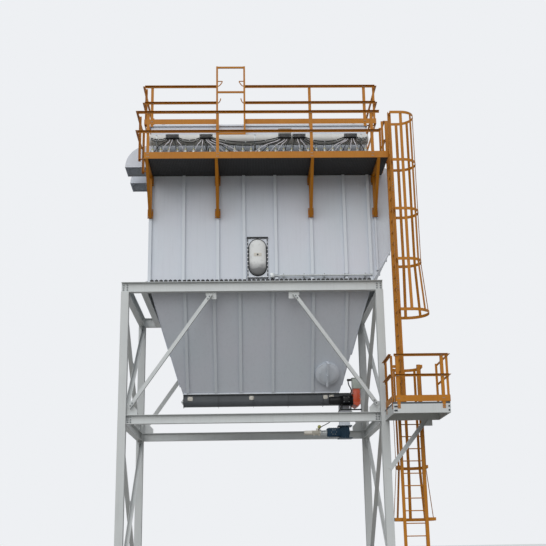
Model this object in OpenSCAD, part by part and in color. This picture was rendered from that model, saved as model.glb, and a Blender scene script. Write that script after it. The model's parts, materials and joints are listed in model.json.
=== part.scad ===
// Pulse-jet bag filter on a braced steel support frame.
// Millimetres, +Z up, +X to the right as seen from the front, +Y towards the back.
// The origin is the centre of the column grid, at the underside of the base plates.

/* [Support frame] */
// Column spacing across the front, centre to centre
col_span_x = 6600; // [6400:50:7400]
// Column spacing front to back, centre to centre
col_span_y = 4150; // [3900:50:4800]
// Depth and flange width of a column
col_w = 200; // [160:10:260]
// Flange thickness of the columns and beams
flange_t = 12; // [8:1:20]
// Web thickness of the columns and beams
web_t = 8; // [6:1:14]
// Thickness of the cap plate on a column
cap_t = 16; // [10:1:25]
// Height of the top of the upper beams
beam_top = 8210; // [7900:10:8600]
// Depth of the upper beams
top_beam_h = 265; // [220:5:320]
// Flange width of the upper and lower beams
beam_w = 165; // [120:5:200]
// Height of the top of the lower beams
low_beam_top = 4770; // [4600:10:4900]
// Depth of the lower beams
low_beam_h = 225; // [180:5:280]
// Side of a square base plate
base_w = 420; // [360:10:520]
// Thickness of a base plate
base_t = 30; // [20:1:40]
// Spacing of the four anchor holes in a base plate
anchor_pitch = 310; // [280:5:330]
// Diameter of an anchor hole
anchor_d = 27; // [18:1:33]

/* [Bracing] */
// Leg of a brace angle
brace_leg = 105; // [70:5:120]
// Thickness of the brace angles
brace_t = 9; // [6:1:14]
// Thickness of the gusset plates
gusset_t = 10; // [6:1:16]
// Side of a corner gusset plate
gusset_w = 280; // [220:10:420]
// Distance of a front brace's upper end from the middle of the front
knee_reach = 1080; // [800:10:1500]
// Height of the lowest bracing joints above the floor
brace_foot = 760; // [600:10:1200]
// Distance of a brace's end from the corner of its bay
brace_end = 60; // [40:5:90]

/* [Filter casing] */
// Width of the casing
casing_w = 5890; // [5600:10:6000]
// Gap between the casing's right wall and the beam beside it
side_gap = 52.5; // [30:2.5:60]
// Height of the casing above its flange
casing_h = 4480; // [4300:10:4800]
// Thickness of the casing and hopper plates
plate_t = 6; // [4:1:8]
// Depth of a stiffening rib
rib_d = 60; // [40:5:75]
// Width of a stiffening rib
rib_w = 50; // [30:5:70]
// Width of the bolted flange round the casing's foot
flange_w = 75; // [70:5:100]
// Gap between the hopper plates and the beams
hopper_gap = 10; // [5:1:30]
// Overhang of the roof plate
roof_over = 40; // [20:5:60]

/* [Hopper] */
// Length of the slot at the bottom of the hopper
slot_w = 4250; // [3900:10:4500]
// Width of the slot at the bottom of the hopper
slot_d = 300; // [280:10:400]
// Height of the slot
slot_z = 5550; // [5450:10:5800]
// Leg of the angle along the slot
slot_leg = 40; // [30:5:60]
// Depth of a rib on the hopper
hopper_rib_d = 36; // [24:2:50]
// Distance of the hopper ribs' ends from the plate's edges
rib_clip = 260; // [150:10:400]
// Radius of the manhole on the front of the hopper
manhole_r = 300; // [240:5:310]
// Distance of the manhole's centre above the slot, along the plate
manhole_rise = 620; // [520:10:800]
// Place of the manhole, as a share of the slot's length from its middle
manhole_place = 0.421; // [0.41:0.001:0.43]
// Length of the manhole's neck
manhole_neck = 90; // [60:5:140]
// Overhang of the manhole's lid
lid_over = 18; // [10:1:25]

/* [Vent] */
// Width of the explosion vent frame
vent_w = 550; // [450:10:600]
// Height of the explosion vent frame
vent_h = 1090; // [900:10:1300]
// Height of the vent frame above the casing's flange
vent_z = 130; // [60:10:300]
// Thickness of the vent frame
vent_t = 30; // [20:2:50]
// Width of the vent frame's margin
vent_margin = 50; // [35:5:80]
// How far the vent's dome stands out
vent_dome = 70; // [40:5:110]

/* [Inlet and outlets] */
// Depth of the inlet plenum from the casing
plenum_out = 530; // [430:10:600]
// Height of the inlet plenum
plenum_h = 3450; // [3200:10:3900]
// Height of the plenum's sloping bottom
plenum_slope_h = 850; // [600:10:1100]
// Fall of the plenum's roof
plenum_drop = 300; // [150:10:450]
// Diameter of the round inlet
inlet_d = 850; // [600:10:1000]
// Height of the inlet's centre above the plenum's foot
inlet_centre = 1880; // [1700:10:2100]
// Height of the opening between the plenum and the casing
inlet_h = 1500; // [1100:10:1700]
// Width of the opening between the plenum and the casing
inlet_w = 3200; // [2600:10:3500]
// Height of that opening's lower edge above the casing's flange
inlet_z0 = 1150; // [900:10:1300]
// Length of the inlet collar
collar_out = 170; // [120:5:250]
// Width of the collar's flange
collar_flange_w = 70; // [50:5:90]
// Number of bolt holes in the collar's flange
collar_holes = 12; // [8:4:24]
// Diameter of a bolt hole in the collar's flange
collar_hole_d = 14; // [10:1:20]
// How far an outlet hood stands out
outlet_out = 725; // [650:5:800]
// Height of an outlet hood
outlet_h = 620; // [500:10:700]
// Width of an outlet hood
outlet_w = 690; // [560:10:760]
// Height of the outlet hoods above the casing's flange
outlet_z0 = 3400; // [3200:10:3600]
// Diameter of the conduit along the casing's foot
conduit_d = 42; // [30:2:60]
// Height of the conduit above the casing's flange
conduit_z = 165; // [120:5:250]

/* [Screw conveyor] */
// Inner radius of the conveyor trough
trough_r = 140; // [120:5:150]
// Straight height of the trough's sides above its round bottom
trough_side = 160; // [120:5:200]
// Length of the trough beyond the slot
trough_over = 290; // [260:5:400]
// Thickness of the trough's flange
trough_flange_t = 12; // [8:1:16]
// Size of the square discharge spout
spout_w = 280; // [240:10:284]
// Thickness of the bearing at the trough's end
bearing_t = 60; // [40:5:100]
// Width of the bearing
bearing_w = 260; // [220:10:280]
// Height of the bearing
bearing_h = 300; // [260:10:340]
// Thickness of the belt guard
guard_t = 195; // [140:5:220]
// Height of the belt guard
guard_h = 470; // [420:10:520]
// Height of the belt guard's top above the screw's axis
guard_up = 242; // [200:2:260]
// Height of the belt guard's pointed bottom
guard_point = 60; // [30:5:90]
// How far the belt guard reaches beyond the motor and the screw
guard_over = 140; // [130:5:180]
// Diameter of the conveyor motor
motor_d = 270; // [220:5:290]
// Length of the conveyor motor
motor_l = 365; // [300:5:420]
// Distance of the motor's axis in front of the screw's axis
motor_out = 330; // [320:5:400]
// Distance of the motor's axis below the screw's axis
motor_drop = 58; // [40:2:70]
// Diameter of the motor's cowl
cowl_d = 220; // [180:5:230]
// Length of the motor's cowl
cowl_l = 280; // [200:5:320]
// Thickness of the motor's foot
foot_t = 50; // [40:5:60]
// Length of the motor's foot
foot_l = 200; // [140:10:260]
// Width of the switch box on the belt guard
switch_w = 260; // [200:5:300]
// Depth of the switch box
switch_d = 160; // [120:5:200]
// Height of the switch box
switch_h = 290; // [240:5:320]

/* [Rotary airlock] */
// Height of the airlock's upper flange
airlock_top = 4670; // [4650:5:4720]
// Height of the airlock between its flanges' outer faces
airlock_h = 340; // [320:5:360]
// Diameter of the airlock's round body
airlock_d = 280; // [240:5:300]
// Length of the airlock's body
airlock_l = 230; // [200:5:260]
// Thickness of the airlock's flanges
airlock_flange_t = 16; // [10:1:20]
// Width of the airlock's flanges beyond the spout
airlock_flange_w = 50; // [40:5:70]
// Distance of the bolt holes from the spout's side
airlock_hole_out = 30; // [22:1:35]
// Diameter of a bolt hole in the airlock's flanges
airlock_hole_d = 14; // [10:1:18]
// Length of the airlock's gearbox
gearbox_l = 375; // [300:5:420]
// Width of the gearbox
gearbox_w = 240; // [200:5:280]
// Height of the gearbox
gearbox_h = 260; // [220:5:280]
// Diameter of the gearbox motor
gear_motor_d = 150; // [120:5:190]
// Length of the gearbox motor
gear_motor_l = 575; // [400:5:620]
// Diameter of the flange between the gearbox and its motor
gear_flange_d = 200; // [195:5:220]
// Thickness of that flange
gear_flange_t = 40; // [20:5:60]

/* [Service platform] */
// Depth of the platform from the casing
deck_d = 1260; // [1150:10:1500]
// Height of the platform's walking surface
deck_z = 11232; // [11050:2:11400]
// Thickness of the deck
deck_t = 32; // [25:1:45]
// Height of the plate round the platform's edge
edge_h = 180; // [140:5:220]
// Thickness of the edge plate
edge_t = 8; // [6:1:12]
// Reach of the platform beyond the casing's left wall
deck_left = 40; // [20:5:100]
// Reach of the platform beyond the casing's right wall
deck_right = 375; // [300:5:450]
// Height of a platform bracket
bracket_drop = 1220; // [900:10:1500]
// Width of a platform bracket
bracket_w = 75; // [50:5:90]
// Depth of a bracket's bars
bracket_bar = 75; // [60:5:90]

/* [Guard rails] */
// Height of the platform's guard rail
deck_rail_h = 1278; // [1150:2:1350]
// Height of the roof's and the landing's guard rails
rail_h = 1155; // [1000:5:1200]
// Height of a middle rail, as a share of the rail's height
mid_share = 0.575; // [0.5:0.005:0.6]
// Leg of the angles that the rails are made of
rail_leg = 60; // [40:5:65]
// Thickness of the rails, posts and toe boards
rail_t = 6; // [4:1:8]
// Width of a post
post_w = 75; // [50:5:90]
// Height of the toe boards
toe_h = 150; // [100:10:180]
// Gap under the toe boards
toe_gap = 10; // [0:1:20]
// Reach of the platform's front rail beyond its left edge
rail_over = 170; // [100:5:220]
// Reach of the roof's front rail beyond its left edge
roof_rail_left_out = 145; // [100:5:200]
// Reach of the roof's front rail beyond its right edge
roof_rail_right_out = 245; // [150:5:300]
// Thickness of the cleats that carry the side rails
cleat_t = 10; // [6:1:14]

/* [Pulse gear] */
// Radius of the pulse header
header_r = 145; // [120:5:155]
// Distance of the header's axis from the casing
header_out = 290; // [280:5:340]
// Height of the header's axis above the platform
header_up = 893; // [850:1:940]
// Distance of the header's ends from the casing's sides
header_inset = 30; // [0:5:100]
// Width of a wall bracket under the header
saddle_w = 40; // [30:5:50]
// Number of pulse valves
valve_count = 27; // [20:1:28]
// Distance of the first and last valve from the header's ends
valve_inset = 50; // [40:5:90]
// Radius of a pulse valve
valve_r = 62; // [50:2:68]
// Height of a pulse valve's body
valve_h = 66; // [50:2:80]
// Distance of a valve's middle below the header's axis
valve_drop = 338; // [300:2:360]
// Radius of the pipes to and from a valve
pipe_r = 24; // [18:1:30]
// Width of a pilot valve box
box_w = 340; // [280:10:360]
// Depth of a pilot valve box
box_d = 120; // [90:5:150]
// Height of a low pilot valve box
box_h = 100; // [80:5:130]
// Height of a tall pilot valve box
tall_box_h = 190; // [150:5:220]
// Gap between the pilot valve boxes and the header
box_gap = 30; // [20:5:50]

/* [Ladders] */
// Clear width between the stringers of a ladder
ladder_w = 470; // [420:10:500]
// Spacing of the rungs
rung_pitch = 300; // [250:10:320]
// Diameter of a rung
rung_d = 26; // [20:1:32]
// Depth of a stringer
stringer_d = 90; // [60:5:95]
// Width of a stringer's flat leg
stringer_leg = 80; // [60:5:90]
// Thickness of a stringer
stringer_t = 10; // [8:1:12]
// Radius of a ladder cage
cage_r = 385; // [370:5:420]
// Depth of a ladder cage from the rungs
cage_d = 660; // [600:10:750]
// Width of the cage's hoops and straps
strap_w = 75; // [50:5:80]
// Thickness of the cage's hoops and straps
strap_t = 6; // [4:1:8]
// How much wider the lowest hoop is
flare = 120; // [60:5:150]
// Height of the upper ladder's cage above the landing
upper_clear = 2230; // [2100:10:2400]
// Height of the lower ladder's cage above the floor
lower_clear = 2100; // [2100:10:2400]
// Gap between the platform's edge and the upper ladder
ladder_gap = 12; // [8:1:20]
// Distance of the upper ladder's middle from the landing's rear edge
upper_in = 950; // [850:10:1050]
// Distance of the lower ladder's middle from the landing's left edge
lower_in = 630; // [560:10:700]
// Height of the roof ladder
roof_ladder_h = 2110; // [2000:10:2300]
// Width of the roof ladder between its uprights' middles
roof_ladder_w = 750; // [600:10:800]
// Size of the roof ladder's tubes
tube_w = 50; // [40:5:60]
// How far the roof ladder starts below the roof
roof_ladder_drop = 400; // [300:10:405]

/* [Landing] */
// Length of the landing
landing_w = 1360; // [1300:10:1500]
// Depth of the landing
landing_d = 1450; // [1400:10:1700]
// Height of the landing's walking surface
landing_z = 4800; // [4750:5:4900]
// Thickness of the landing's deck
landing_t = 45; // [30:1:60]
// Depth of the channel round the landing
channel_h = 215; // [180:5:240]
// Width of the channel's flanges
channel_w = 60; // [45:5:75]
// Thickness of the channel
channel_t = 8; // [6:1:10]
// Height of the knee brace's foot below the landing's channel
knee_h = 1195; // [900:5:1500]

/* [Hidden] */
$fn = 64;

frame_white = "#c9ccce";
casing_grey = "#b9c2c8";
safety_yellow = "#b8782a";
dark_grey = "#484c50";
guard_orange = "#be4623";
drive_blue = "#284b64";
motor_cream = "#c8c2ae";
galvanised = "#9aa0a2";

// A finger's width, for cuts that run past a face
past = 1;
col_x = col_span_x / 2;
col_y = col_span_y / 2;
front_face = -col_y - col_w / 2;
top_beam_under = beam_top - top_beam_h;
low_beam_under = low_beam_top - low_beam_h;

// Standing members: an I-section, its web along Y, length along +Z
module i_profile(depth, width) {
  half_web = web_t / 2;
  half_w = width / 2;
  half_d = depth / 2;
  polygon([
    [-half_w, -half_d], [half_w, -half_d], [half_w, -half_d + flange_t], [half_web, -half_d + flange_t],
    [half_web, half_d - flange_t], [half_w, half_d - flange_t], [half_w, half_d], [-half_w, half_d],
    [-half_w, half_d - flange_t], [-half_web, half_d - flange_t], [-half_web, -half_d + flange_t],
    [-half_w, -half_d + flange_t]
  ]);
}

// A beam along X from x0 to x1, its top at z, its middle at y
module beam_x(x0, x1, y, z, depth) {
  translate([x0, y, z - depth / 2])
    rotate([90, 0, 90]) linear_extrude(x1 - x0) i_profile(depth, beam_w);
}

// A beam along Y from y0 to y1, its top at z, its middle at x
module beam_y(x, y0, y1, z, depth) {
  translate([x, y1, z - depth / 2])
    rotate([90, 0, 0]) linear_extrude(y1 - y0) i_profile(depth, beam_w);
}

module at_columns() {
  for (side = [-1, 1], end = [-1, 1])
    translate([side * col_x, end * col_y, 0]) children();
}

module base_plates() {
  color(frame_white) at_columns() difference() {
    translate([-base_w / 2, -base_w / 2, 0]) cube([base_w, base_w, base_t]);
    for (side = [-1, 1], end = [-1, 1])
      translate([side * anchor_pitch / 2, end * anchor_pitch / 2, -past])
        cylinder(d = anchor_d, h = base_t + 2 * past);
  }
}

// The columns stand on their base plates and end in a cap plate under the upper beams
module columns() {
  color(frame_white) at_columns() {
    translate([0, 0, base_t]) linear_extrude(top_beam_under - cap_t - base_t) i_profile(col_w, col_w);
    translate([-col_w / 2, -col_w / 2, top_beam_under - cap_t]) cube([col_w, col_w, cap_t]);
  }
}

module top_beams_front_rear() {
  color(frame_white) for (end = [-1, 1])
    beam_x(-col_x - col_w / 2, col_x + col_w / 2, end * col_y, beam_top, top_beam_h);
}

// The side beams run between the front and rear ones, and one more carries the casing's left wall
casing_x = col_x - beam_w / 2 - side_gap - casing_w / 2;
casing_beam_x = casing_x - casing_w / 2 - beam_w / 2 - hopper_gap;
module top_beams_side() {
  reach = col_y - beam_w / 2;
  color(frame_white) for (x = [-col_x, casing_beam_x, col_x])
    beam_y(x, -reach, reach, beam_top, top_beam_h);
}

module lower_beams_front_rear() {
  color(frame_white) for (end = [-1, 1])
    beam_x(-col_x + col_w / 2, col_x - col_w / 2, end * col_y, low_beam_top, low_beam_h);
}

module lower_beams_side() {
  reach = col_y - col_w / 2;
  color(frame_white) for (side = [-1, 1])
    beam_y(side * col_x, -reach, reach, low_beam_top, low_beam_h);
}

// A brace angle in the XZ plane between two points, its flat leg on the face y = 0 and its other
// leg standing out towards -Y
module brace(p0, p1) {
  run = p1 - p0;
  length = norm(run);
  translate([p0.x, 0, p0.y]) rotate([0, -atan2(run.y, run.x), 0]) {
    translate([0, -brace_t, -brace_leg / 2]) cube([length, brace_t, brace_leg]);
    translate([0, -brace_leg, -brace_leg / 2]) cube([length, brace_leg, brace_t]);
  }
}

// A gusset plate with one corner cut, in the XZ plane with its square corner at the origin
module gusset(w, h) {
  rotate([90, 0, 0]) linear_extrude(gusset_t)
    polygon([[0, 0], [w, 0], [w, h * 0.45], [w * 0.45, h], [0, h]]);
}

// Braces of the front and rear faces, from the upper beam's underside down to the column
module face_braces() {
  for (side = [-1, 1]) mirror([side < 0 ? 1 : 0, 0, 0]) {
    corner_x = col_x - col_w / 2;
    brace([knee_reach, top_beam_under - brace_end], [corner_x - brace_end, low_beam_top + 3 * brace_end]);
    translate([corner_x, gusset_t, low_beam_top]) mirror([1, 0, 0]) gusset(gusset_w, gusset_w);
    translate([knee_reach - gusset_w / 2, gusset_t, top_beam_under]) mirror([0, 0, 1])
      gusset(gusset_w, gusset_w * 0.7);
  }
}

module front_braces() {
  color(frame_white) translate([0, -col_y, 0]) face_braces();
}

module rear_braces() {
  color(frame_white) rotate([0, 0, 180]) translate([0, -col_y, 0]) face_braces();
}

// Cross bracing of one side of the frame, drawn in the XZ plane about x = 0: an angle on each face
// of the gusset plates, their standing legs turned away from each other
module cross_bay(half, z0, z1) {
  low = [-half + brace_end, z0 + brace_end];
  high = [half - brace_end, z1 - brace_end];
  middle_w = gusset_w * 0.8;
  brace(low, high);
  translate([0, gusset_t, 0]) mirror([1, 0, 0]) mirror([0, 1, 0]) brace(low, high);
  translate([-middle_w / 2, 0, (z0 + z1 - middle_w) / 2]) cube([middle_w, gusset_t, middle_w]);
}

module side_bracing() {
  half = col_y - col_w / 2;
  for (bay = [[brace_foot, low_beam_under], [low_beam_top, top_beam_under]]) {
    cross_bay(half, bay[0], bay[1]);
    for (side = [0, 1]) mirror([side, 0, 0]) {
      translate([-half, gusset_t, bay[0]]) gusset(gusset_w, gusset_w);
      translate([-half, gusset_t, bay[1]]) mirror([0, 0, 1]) gusset(gusset_w, gusset_w);
    }
  }
}

module left_bracing() {
  color(frame_white) translate([-col_x, 0, 0]) rotate([0, 0, -90]) side_bracing();
}

module right_bracing() {
  color(frame_white) translate([col_x, 0, 0]) rotate([0, 0, 90]) side_bracing();
}

// The hopper hangs inside the beams, from a flange that rests on them
casing_d = col_span_y - beam_w - 2 * hopper_gap;
hopper_h = beam_top - slot_z;
front_slope = atan2(hopper_h, (casing_d - slot_d) / 2);
side_slope = atan2(hopper_h, (casing_w - slot_w) / 2);
rib_places = [0.005, 0.155, 0.309, 0.427, 0.57, 0.731, 0.883, 0.994];
hopper_rib_places = [0.03, 0.21, 0.37, 0.575, 0.827, 1.035];
side_hopper_rib_places = [-0.2, 0, 0.2];
seam = 1.6 * plate_t;

module hopper_outline(top_w, low_w, slope) {
  length = hopper_h / sin(slope);
  polygon([[-top_w / 2, 0], [top_w / 2, 0], [low_w / 2, -length], [-low_w / 2, -length]]);
}

// A sloping hopper plate in its own plane: top edge of top_w, bottom edge of low_w, its outer face
// towards -Y and leaning back from the top edge at y = 0, with ribs that end inside its outline
module hopper_plate(top_w, low_w, slope, ribs) {
  length = hopper_h / sin(slope);
  rotate([90 - slope, 0, 0]) rotate([90, 0, 0]) {
    translate([0, 0, -plate_t]) linear_extrude(plate_t) hopper_outline(top_w, low_w, slope);
    for (x = ribs) linear_extrude(hopper_rib_d) intersection() {
      hopper_outline(top_w - rib_w, low_w - rib_w, slope);
      translate([x - rib_w / 2, rib_clip - length]) square([rib_w, length - 2 * rib_clip]);
    }
  }
}

module hopper_flange(w, out) {
  translate([-w / 2, -out, 0]) cube([w, out + plate_t, plate_t]);
}

module at_casing_front() {
  translate([casing_x, -casing_d / 2, beam_top]) children();
}

module at_casing_rear() {
  translate([casing_x, casing_d / 2, beam_top]) rotate([0, 0, 180]) children();
}

module at_casing_left() {
  translate([casing_x - casing_w / 2, 0, beam_top]) rotate([0, 0, -90]) children();
}

module at_casing_right() {
  translate([casing_x + casing_w / 2, 0, beam_top]) rotate([0, 0, 90]) children();
}

manhole_x = manhole_place * slot_w;
manhole_drop = hopper_h / sin(front_slope) - manhole_rise;

// The long plates end in an angle that the conveyor's flange is bolted to
module hopper_long_side() {
  hopper_plate(casing_w, slot_w, front_slope, [for (place = hopper_rib_places) (place - 0.5) * slot_w]);
  hopper_flange(casing_w + 2 * flange_w, flange_w);
  translate([-slot_w / 2, (casing_d - slot_d) / 2 - slot_leg, -hopper_h]) {
    cube([slot_w, slot_leg + plate_t / 2, plate_t]);
    cube([slot_w, plate_t, slot_leg]);
  }
}

module hopper_front() {
  color(casing_grey) at_casing_front() difference() {
    hopper_long_side();
    at_manhole() cylinder(r = manhole_r, h = 4 * plate_t, center = true);
  }
}

module hopper_rear() {
  color(casing_grey) at_casing_rear() hopper_long_side();
}

module hopper_short_side() {
  ribs = [for (place = side_hopper_rib_places) place * casing_d];
  hopper_plate(casing_d - 2 * seam, slot_d - 2 * seam, side_slope, ribs);
  hopper_flange(casing_d - 2 * plate_t - 2 * past, flange_w);
}

module hopper_left() {
  color(casing_grey) at_casing_left() hopper_short_side();
}

module hopper_right() {
  color(casing_grey) at_casing_right() hopper_short_side();
}

// Places its children on the hopper's front plate, their +Z square to the plate
module at_manhole() {
  rotate([90 - front_slope, 0, 0]) translate([manhole_x, 0, -manhole_drop]) rotate([90, 0, 0]) children();
}

module hopper_manhole() {
  neck_r = manhole_r - past;
  color(casing_grey) at_casing_front() at_manhole() {
    difference() {
      translate([0, 0, -3 * plate_t]) cylinder(r = neck_r, h = manhole_neck + 3 * plate_t);
      translate([0, 0, -4 * plate_t]) cylinder(r = neck_r - plate_t, h = manhole_neck + 3 * plate_t);
    }
    translate([0, 0, manhole_neck]) cylinder(r = manhole_r + lid_over, h = 2 * plate_t);
  }
}

// A casing wall in the XZ plane: its outer face at y = 0, its foot at z = 0
module casing_wall(w, span, places, rib_top) {
  translate([-w / 2, 0, plate_t]) cube([w, plate_t, casing_h - plate_t]);
  for (place = places)
    translate([(place - 0.5) * span - rib_w / 2, -rib_d, 2 * plate_t])
      cube([rib_w, rib_d + plate_t / 2, rib_top - 2 * plate_t]);
}

module wall_flange(w, out) {
  translate([-w / 2, -out, plate_t]) cube([w, out + plate_t, plate_t]);
}

module casing_front_wall() {
  color(casing_grey) at_casing_front() {
    casing_wall(casing_w, casing_w, rib_places, deck_under - beam_top);
    wall_flange(casing_w + 2 * flange_w, flange_w);
  }
}

module casing_rear_wall() {
  color(casing_grey) at_casing_rear() {
    casing_wall(casing_w, casing_w, rib_places, casing_h - 2 * plate_t);
    wall_flange(casing_w + 2 * flange_w, flange_w);
  }
}

// The openings in the side walls: the inlet inside its plenum, and the clean air outlets
outlet_places = [-1670, -470];
side_rib_places = [0.33, 0.67];

module side_wall(places) {
  casing_wall(casing_d - 2 * plate_t, casing_d, places, casing_h - 2 * plate_t);
  wall_flange(casing_d - 2 * plate_t - 2 * past, flange_w);
}

module casing_left_wall() {
  color(casing_grey) at_casing_left() difference() {
    side_wall(side_rib_places);
    for (y = outlet_places) translate([-y - outlet_w + 2 * plate_t, -past, outlet_z0 + 2 * plate_t])
      cube([outlet_w - 4 * plate_t, plate_t + 2 * past, outlet_h - 6 * plate_t]);
  }
}

module casing_right_wall() {
  color(casing_grey) at_casing_right() difference() {
    side_wall([]);
    translate([-inlet_w / 2, -past, inlet_z0]) cube([inlet_w, plate_t + 2 * past, inlet_h]);
  }
}

roof_z = beam_top + casing_h;
module casing_roof() {
  color(casing_grey) translate([casing_x - casing_w / 2 - roof_over, -casing_d / 2 - roof_over, roof_z])
    cube([casing_w + 2 * roof_over, casing_d + 2 * roof_over, plate_t]);
}

// The vent lies between two ribs of the front wall, low down
vent_x = ((rib_places[3] + rib_places[4]) / 2 - 0.5) * casing_w - 66;

module obround(w, h) {
  for (end = [-1, 1]) translate([0, end * (h - w) / 2]) circle(d = w);
  square([w, h - w], center = true);
}

module vent_frame() {
  color(casing_grey) at_casing_front() translate([vent_x, 0, vent_z + vent_h / 2]) rotate([90, 0, 0])
    linear_extrude(vent_t) difference() {
      square([vent_w, vent_h], center = true);
      obround(vent_w - 2 * vent_margin, vent_h - 2 * vent_margin);
    }
}

module vent_dome() {
  dome_w = vent_w - 2 * vent_margin - past;
  dome_h = vent_h - 2 * vent_margin - past;
  color(casing_grey) at_casing_front() translate([vent_x, 0, vent_z + vent_h / 2]) rotate([90, 0, 0]) {
    linear_extrude(vent_t) obround(dome_w, dome_h);
    translate([0, 0, vent_t]) hull() for (end = [-1, 1])
      translate([0, end * (dome_h - dome_w) / 2, 0]) scale([1, 1, 2 * vent_dome / dome_w])
        intersection() {
          sphere(d = dome_w, $fn = 32);
          cylinder(d = dome_w, h = dome_w, $fn = 32);
        }
  }
}

// The inlet plenum: a full-depth box on the right wall with a sloping bottom and a round inlet
plenum_rib_places = [-1350, -720, 720, 1350];
rib_margin = 60;
hood_rib_x = casing_w / 2 + 135;
module plenum_form(length, inset) {
  top = plenum_h - 2 * inset;
  translate([-length / 2, 0, 2 * plate_t + inset]) rotate([90, 0, 90]) linear_extrude(length)
    polygon([[0, 0], [inset - plenum_out, plenum_slope_h], [inset - plenum_out, top - plenum_drop], [0, top]]);
}

module inlet_plenum() {
  rib_h = plenum_h - plenum_drop - plenum_slope_h - 2 * rib_margin;
  front_rib_z = plenum_slope_h * 0.35;
  color(casing_grey) at_casing_right() {
    difference() {
      plenum_form(casing_d, 0);
      plenum_form(casing_d - 2 * plate_t, plate_t);
      translate([0, -plenum_out + 2 * plate_t, inlet_centre]) rotate([90, 0, 0])
        cylinder(d = inlet_d, h = 4 * plate_t);
    }
    for (x = plenum_rib_places) translate([x - rib_w / 2, -plenum_out - rib_d, plenum_slope_h + rib_margin])
      cube([rib_w, rib_d + plate_t / 2, rib_h]);
    translate([-casing_d / 2 - rib_d, casing_w / 2 - hood_rib_x - rib_w / 2, front_rib_z])
      cube([rib_d + plate_t / 2, rib_w, deck_under - beam_top - front_rib_z]);
  }
}

// The round inlet collar and its drilled flange, for a duct of the same bore
module inlet_collar() {
  color(casing_grey) at_casing_right() translate([0, -plenum_out, inlet_centre]) rotate([90, 0, 0])
    difference() {
      union() {
        cylinder(d = inlet_d + 2 * plate_t, h = collar_out);
        translate([0, 0, collar_out - 2 * plate_t])
          cylinder(d = inlet_d + 2 * collar_flange_w, h = 2 * plate_t);
      }
      translate([0, 0, -past]) cylinder(d = inlet_d, h = collar_out + 2 * past);
      for (i = [0 : collar_holes - 1]) rotate([0, 0, 360 / collar_holes * i])
        translate([(inlet_d + collar_flange_w) / 2 + plate_t, 0, collar_out - 4 * plate_t])
          cylinder(d = collar_hole_d, h = 5 * plate_t);
    }
}

// Quarter-round hoods over the clean air outlets, open at the bottom
module quarter_round(out, h, length) {
  rotate([90, 0, -90]) linear_extrude(length) {
    square([out - h, h]);
    translate([out - h, 0]) intersection() {
      circle(r = h);
      square([h, h]);
    }
  }
}

module outlet_hoods() {
  color(casing_grey) at_casing_left() for (y = outlet_places)
    translate([-y - outlet_w / 2, 0, outlet_z0]) difference() {
      translate([outlet_w / 2, 0, 0]) quarter_round(outlet_out, outlet_h, outlet_w);
      translate([outlet_w / 2 - plate_t, past, -past])
        quarter_round(outlet_out - plate_t + past, outlet_h - plate_t + past, outlet_w - 2 * plate_t);
    }
}

module front_conduit() {
  start = vent_w / 2 + vent_x + 3 * rib_w;
  color(galvanised) at_casing_front() translate([start, -rib_d - conduit_d / 2, conduit_z])
    rotate([0, 90, 0]) cylinder(d = conduit_d, h = casing_w / 2 - start);
}

// Screw conveyor under the hopper slot
trough_x0 = casing_x - slot_w / 2;
trough_x1 = trough_x0 + slot_w + trough_over;
trough_z = slot_z - trough_flange_t - trough_side;
trough_outer = trough_r + plate_t;
spout_x = trough_x1 - spout_w / 2 - 2 * plate_t;
module trough_section(r, side) {
  circle(r = r);
  translate([-r, 0]) square([2 * r, side]);
}

module conveyor_trough() {
  length = trough_x1 - trough_x0;
  flange_d = slot_d + 2 * slot_leg;
  inner = trough_r - plate_t;
  color(dark_grey) difference() {
    union() {
      translate([trough_x0, 0, trough_z]) rotate([90, 0, 90]) linear_extrude(length)
        trough_section(trough_outer, trough_side);
      translate([trough_x0, -flange_d / 2, slot_z - trough_flange_t])
        cube([length, flange_d, trough_flange_t]);
    }
    translate([trough_x0 + plate_t, 0, trough_z]) rotate([90, 0, 90]) linear_extrude(length - 2 * plate_t)
      trough_section(trough_r, trough_side - plate_t);
    translate([trough_x0 + 2 * plate_t, -inner, trough_z + trough_side / 2])
      cube([slot_w - 4 * plate_t, 2 * inner, trough_side]);
    translate([spout_x - spout_w / 2 + plate_t, -inner, trough_z - 2 * trough_r])
      cube([spout_w - 2 * plate_t, 2 * inner, trough_r * 1.5]);
  }
}

// The bearing at the trough's end
module conveyor_reducer() {
  color(dark_grey) translate([trough_x1, -bearing_w / 2, trough_z - bearing_h / 2])
    cube([bearing_t, bearing_w, bearing_h]);
}

// The guard covers the belt between the motor and the screw, with a pointed bottom
guard_x = trough_x1 + bearing_t;
module belt_guard() {
  low = guard_up - guard_h;
  color(guard_orange) translate([guard_x, guard_over, trough_z]) rotate([90, 0, 0])
    linear_extrude(motor_out + 2 * guard_over)
      polygon([
        [0, guard_up], [0, low + guard_point], [guard_t / 2, low], [guard_t, low + guard_point],
        [guard_t, guard_up]
      ]);
}

// The motor hangs beside the trough, on a foot that is welded to the trough's side
module conveyor_motor() {
  color(dark_grey) {
    translate([guard_x - motor_l, -motor_out, trough_z - motor_drop]) rotate([0, 90, 0]) {
      cylinder(d = motor_d, h = motor_l);
      translate([0, 0, -cowl_l]) cylinder(d = cowl_d, h = cowl_l);
    }
    translate([guard_x - (motor_l + foot_l) / 2, -motor_out, trough_z])
      cube([foot_l, motor_out - trough_outer, foot_t]);
  }
}

module switch_box() {
  color(casing_grey) translate([guard_x - 15, -motor_out - guard_over, trough_z + guard_up])
    cube([switch_w, switch_d, switch_h]);
}

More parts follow.
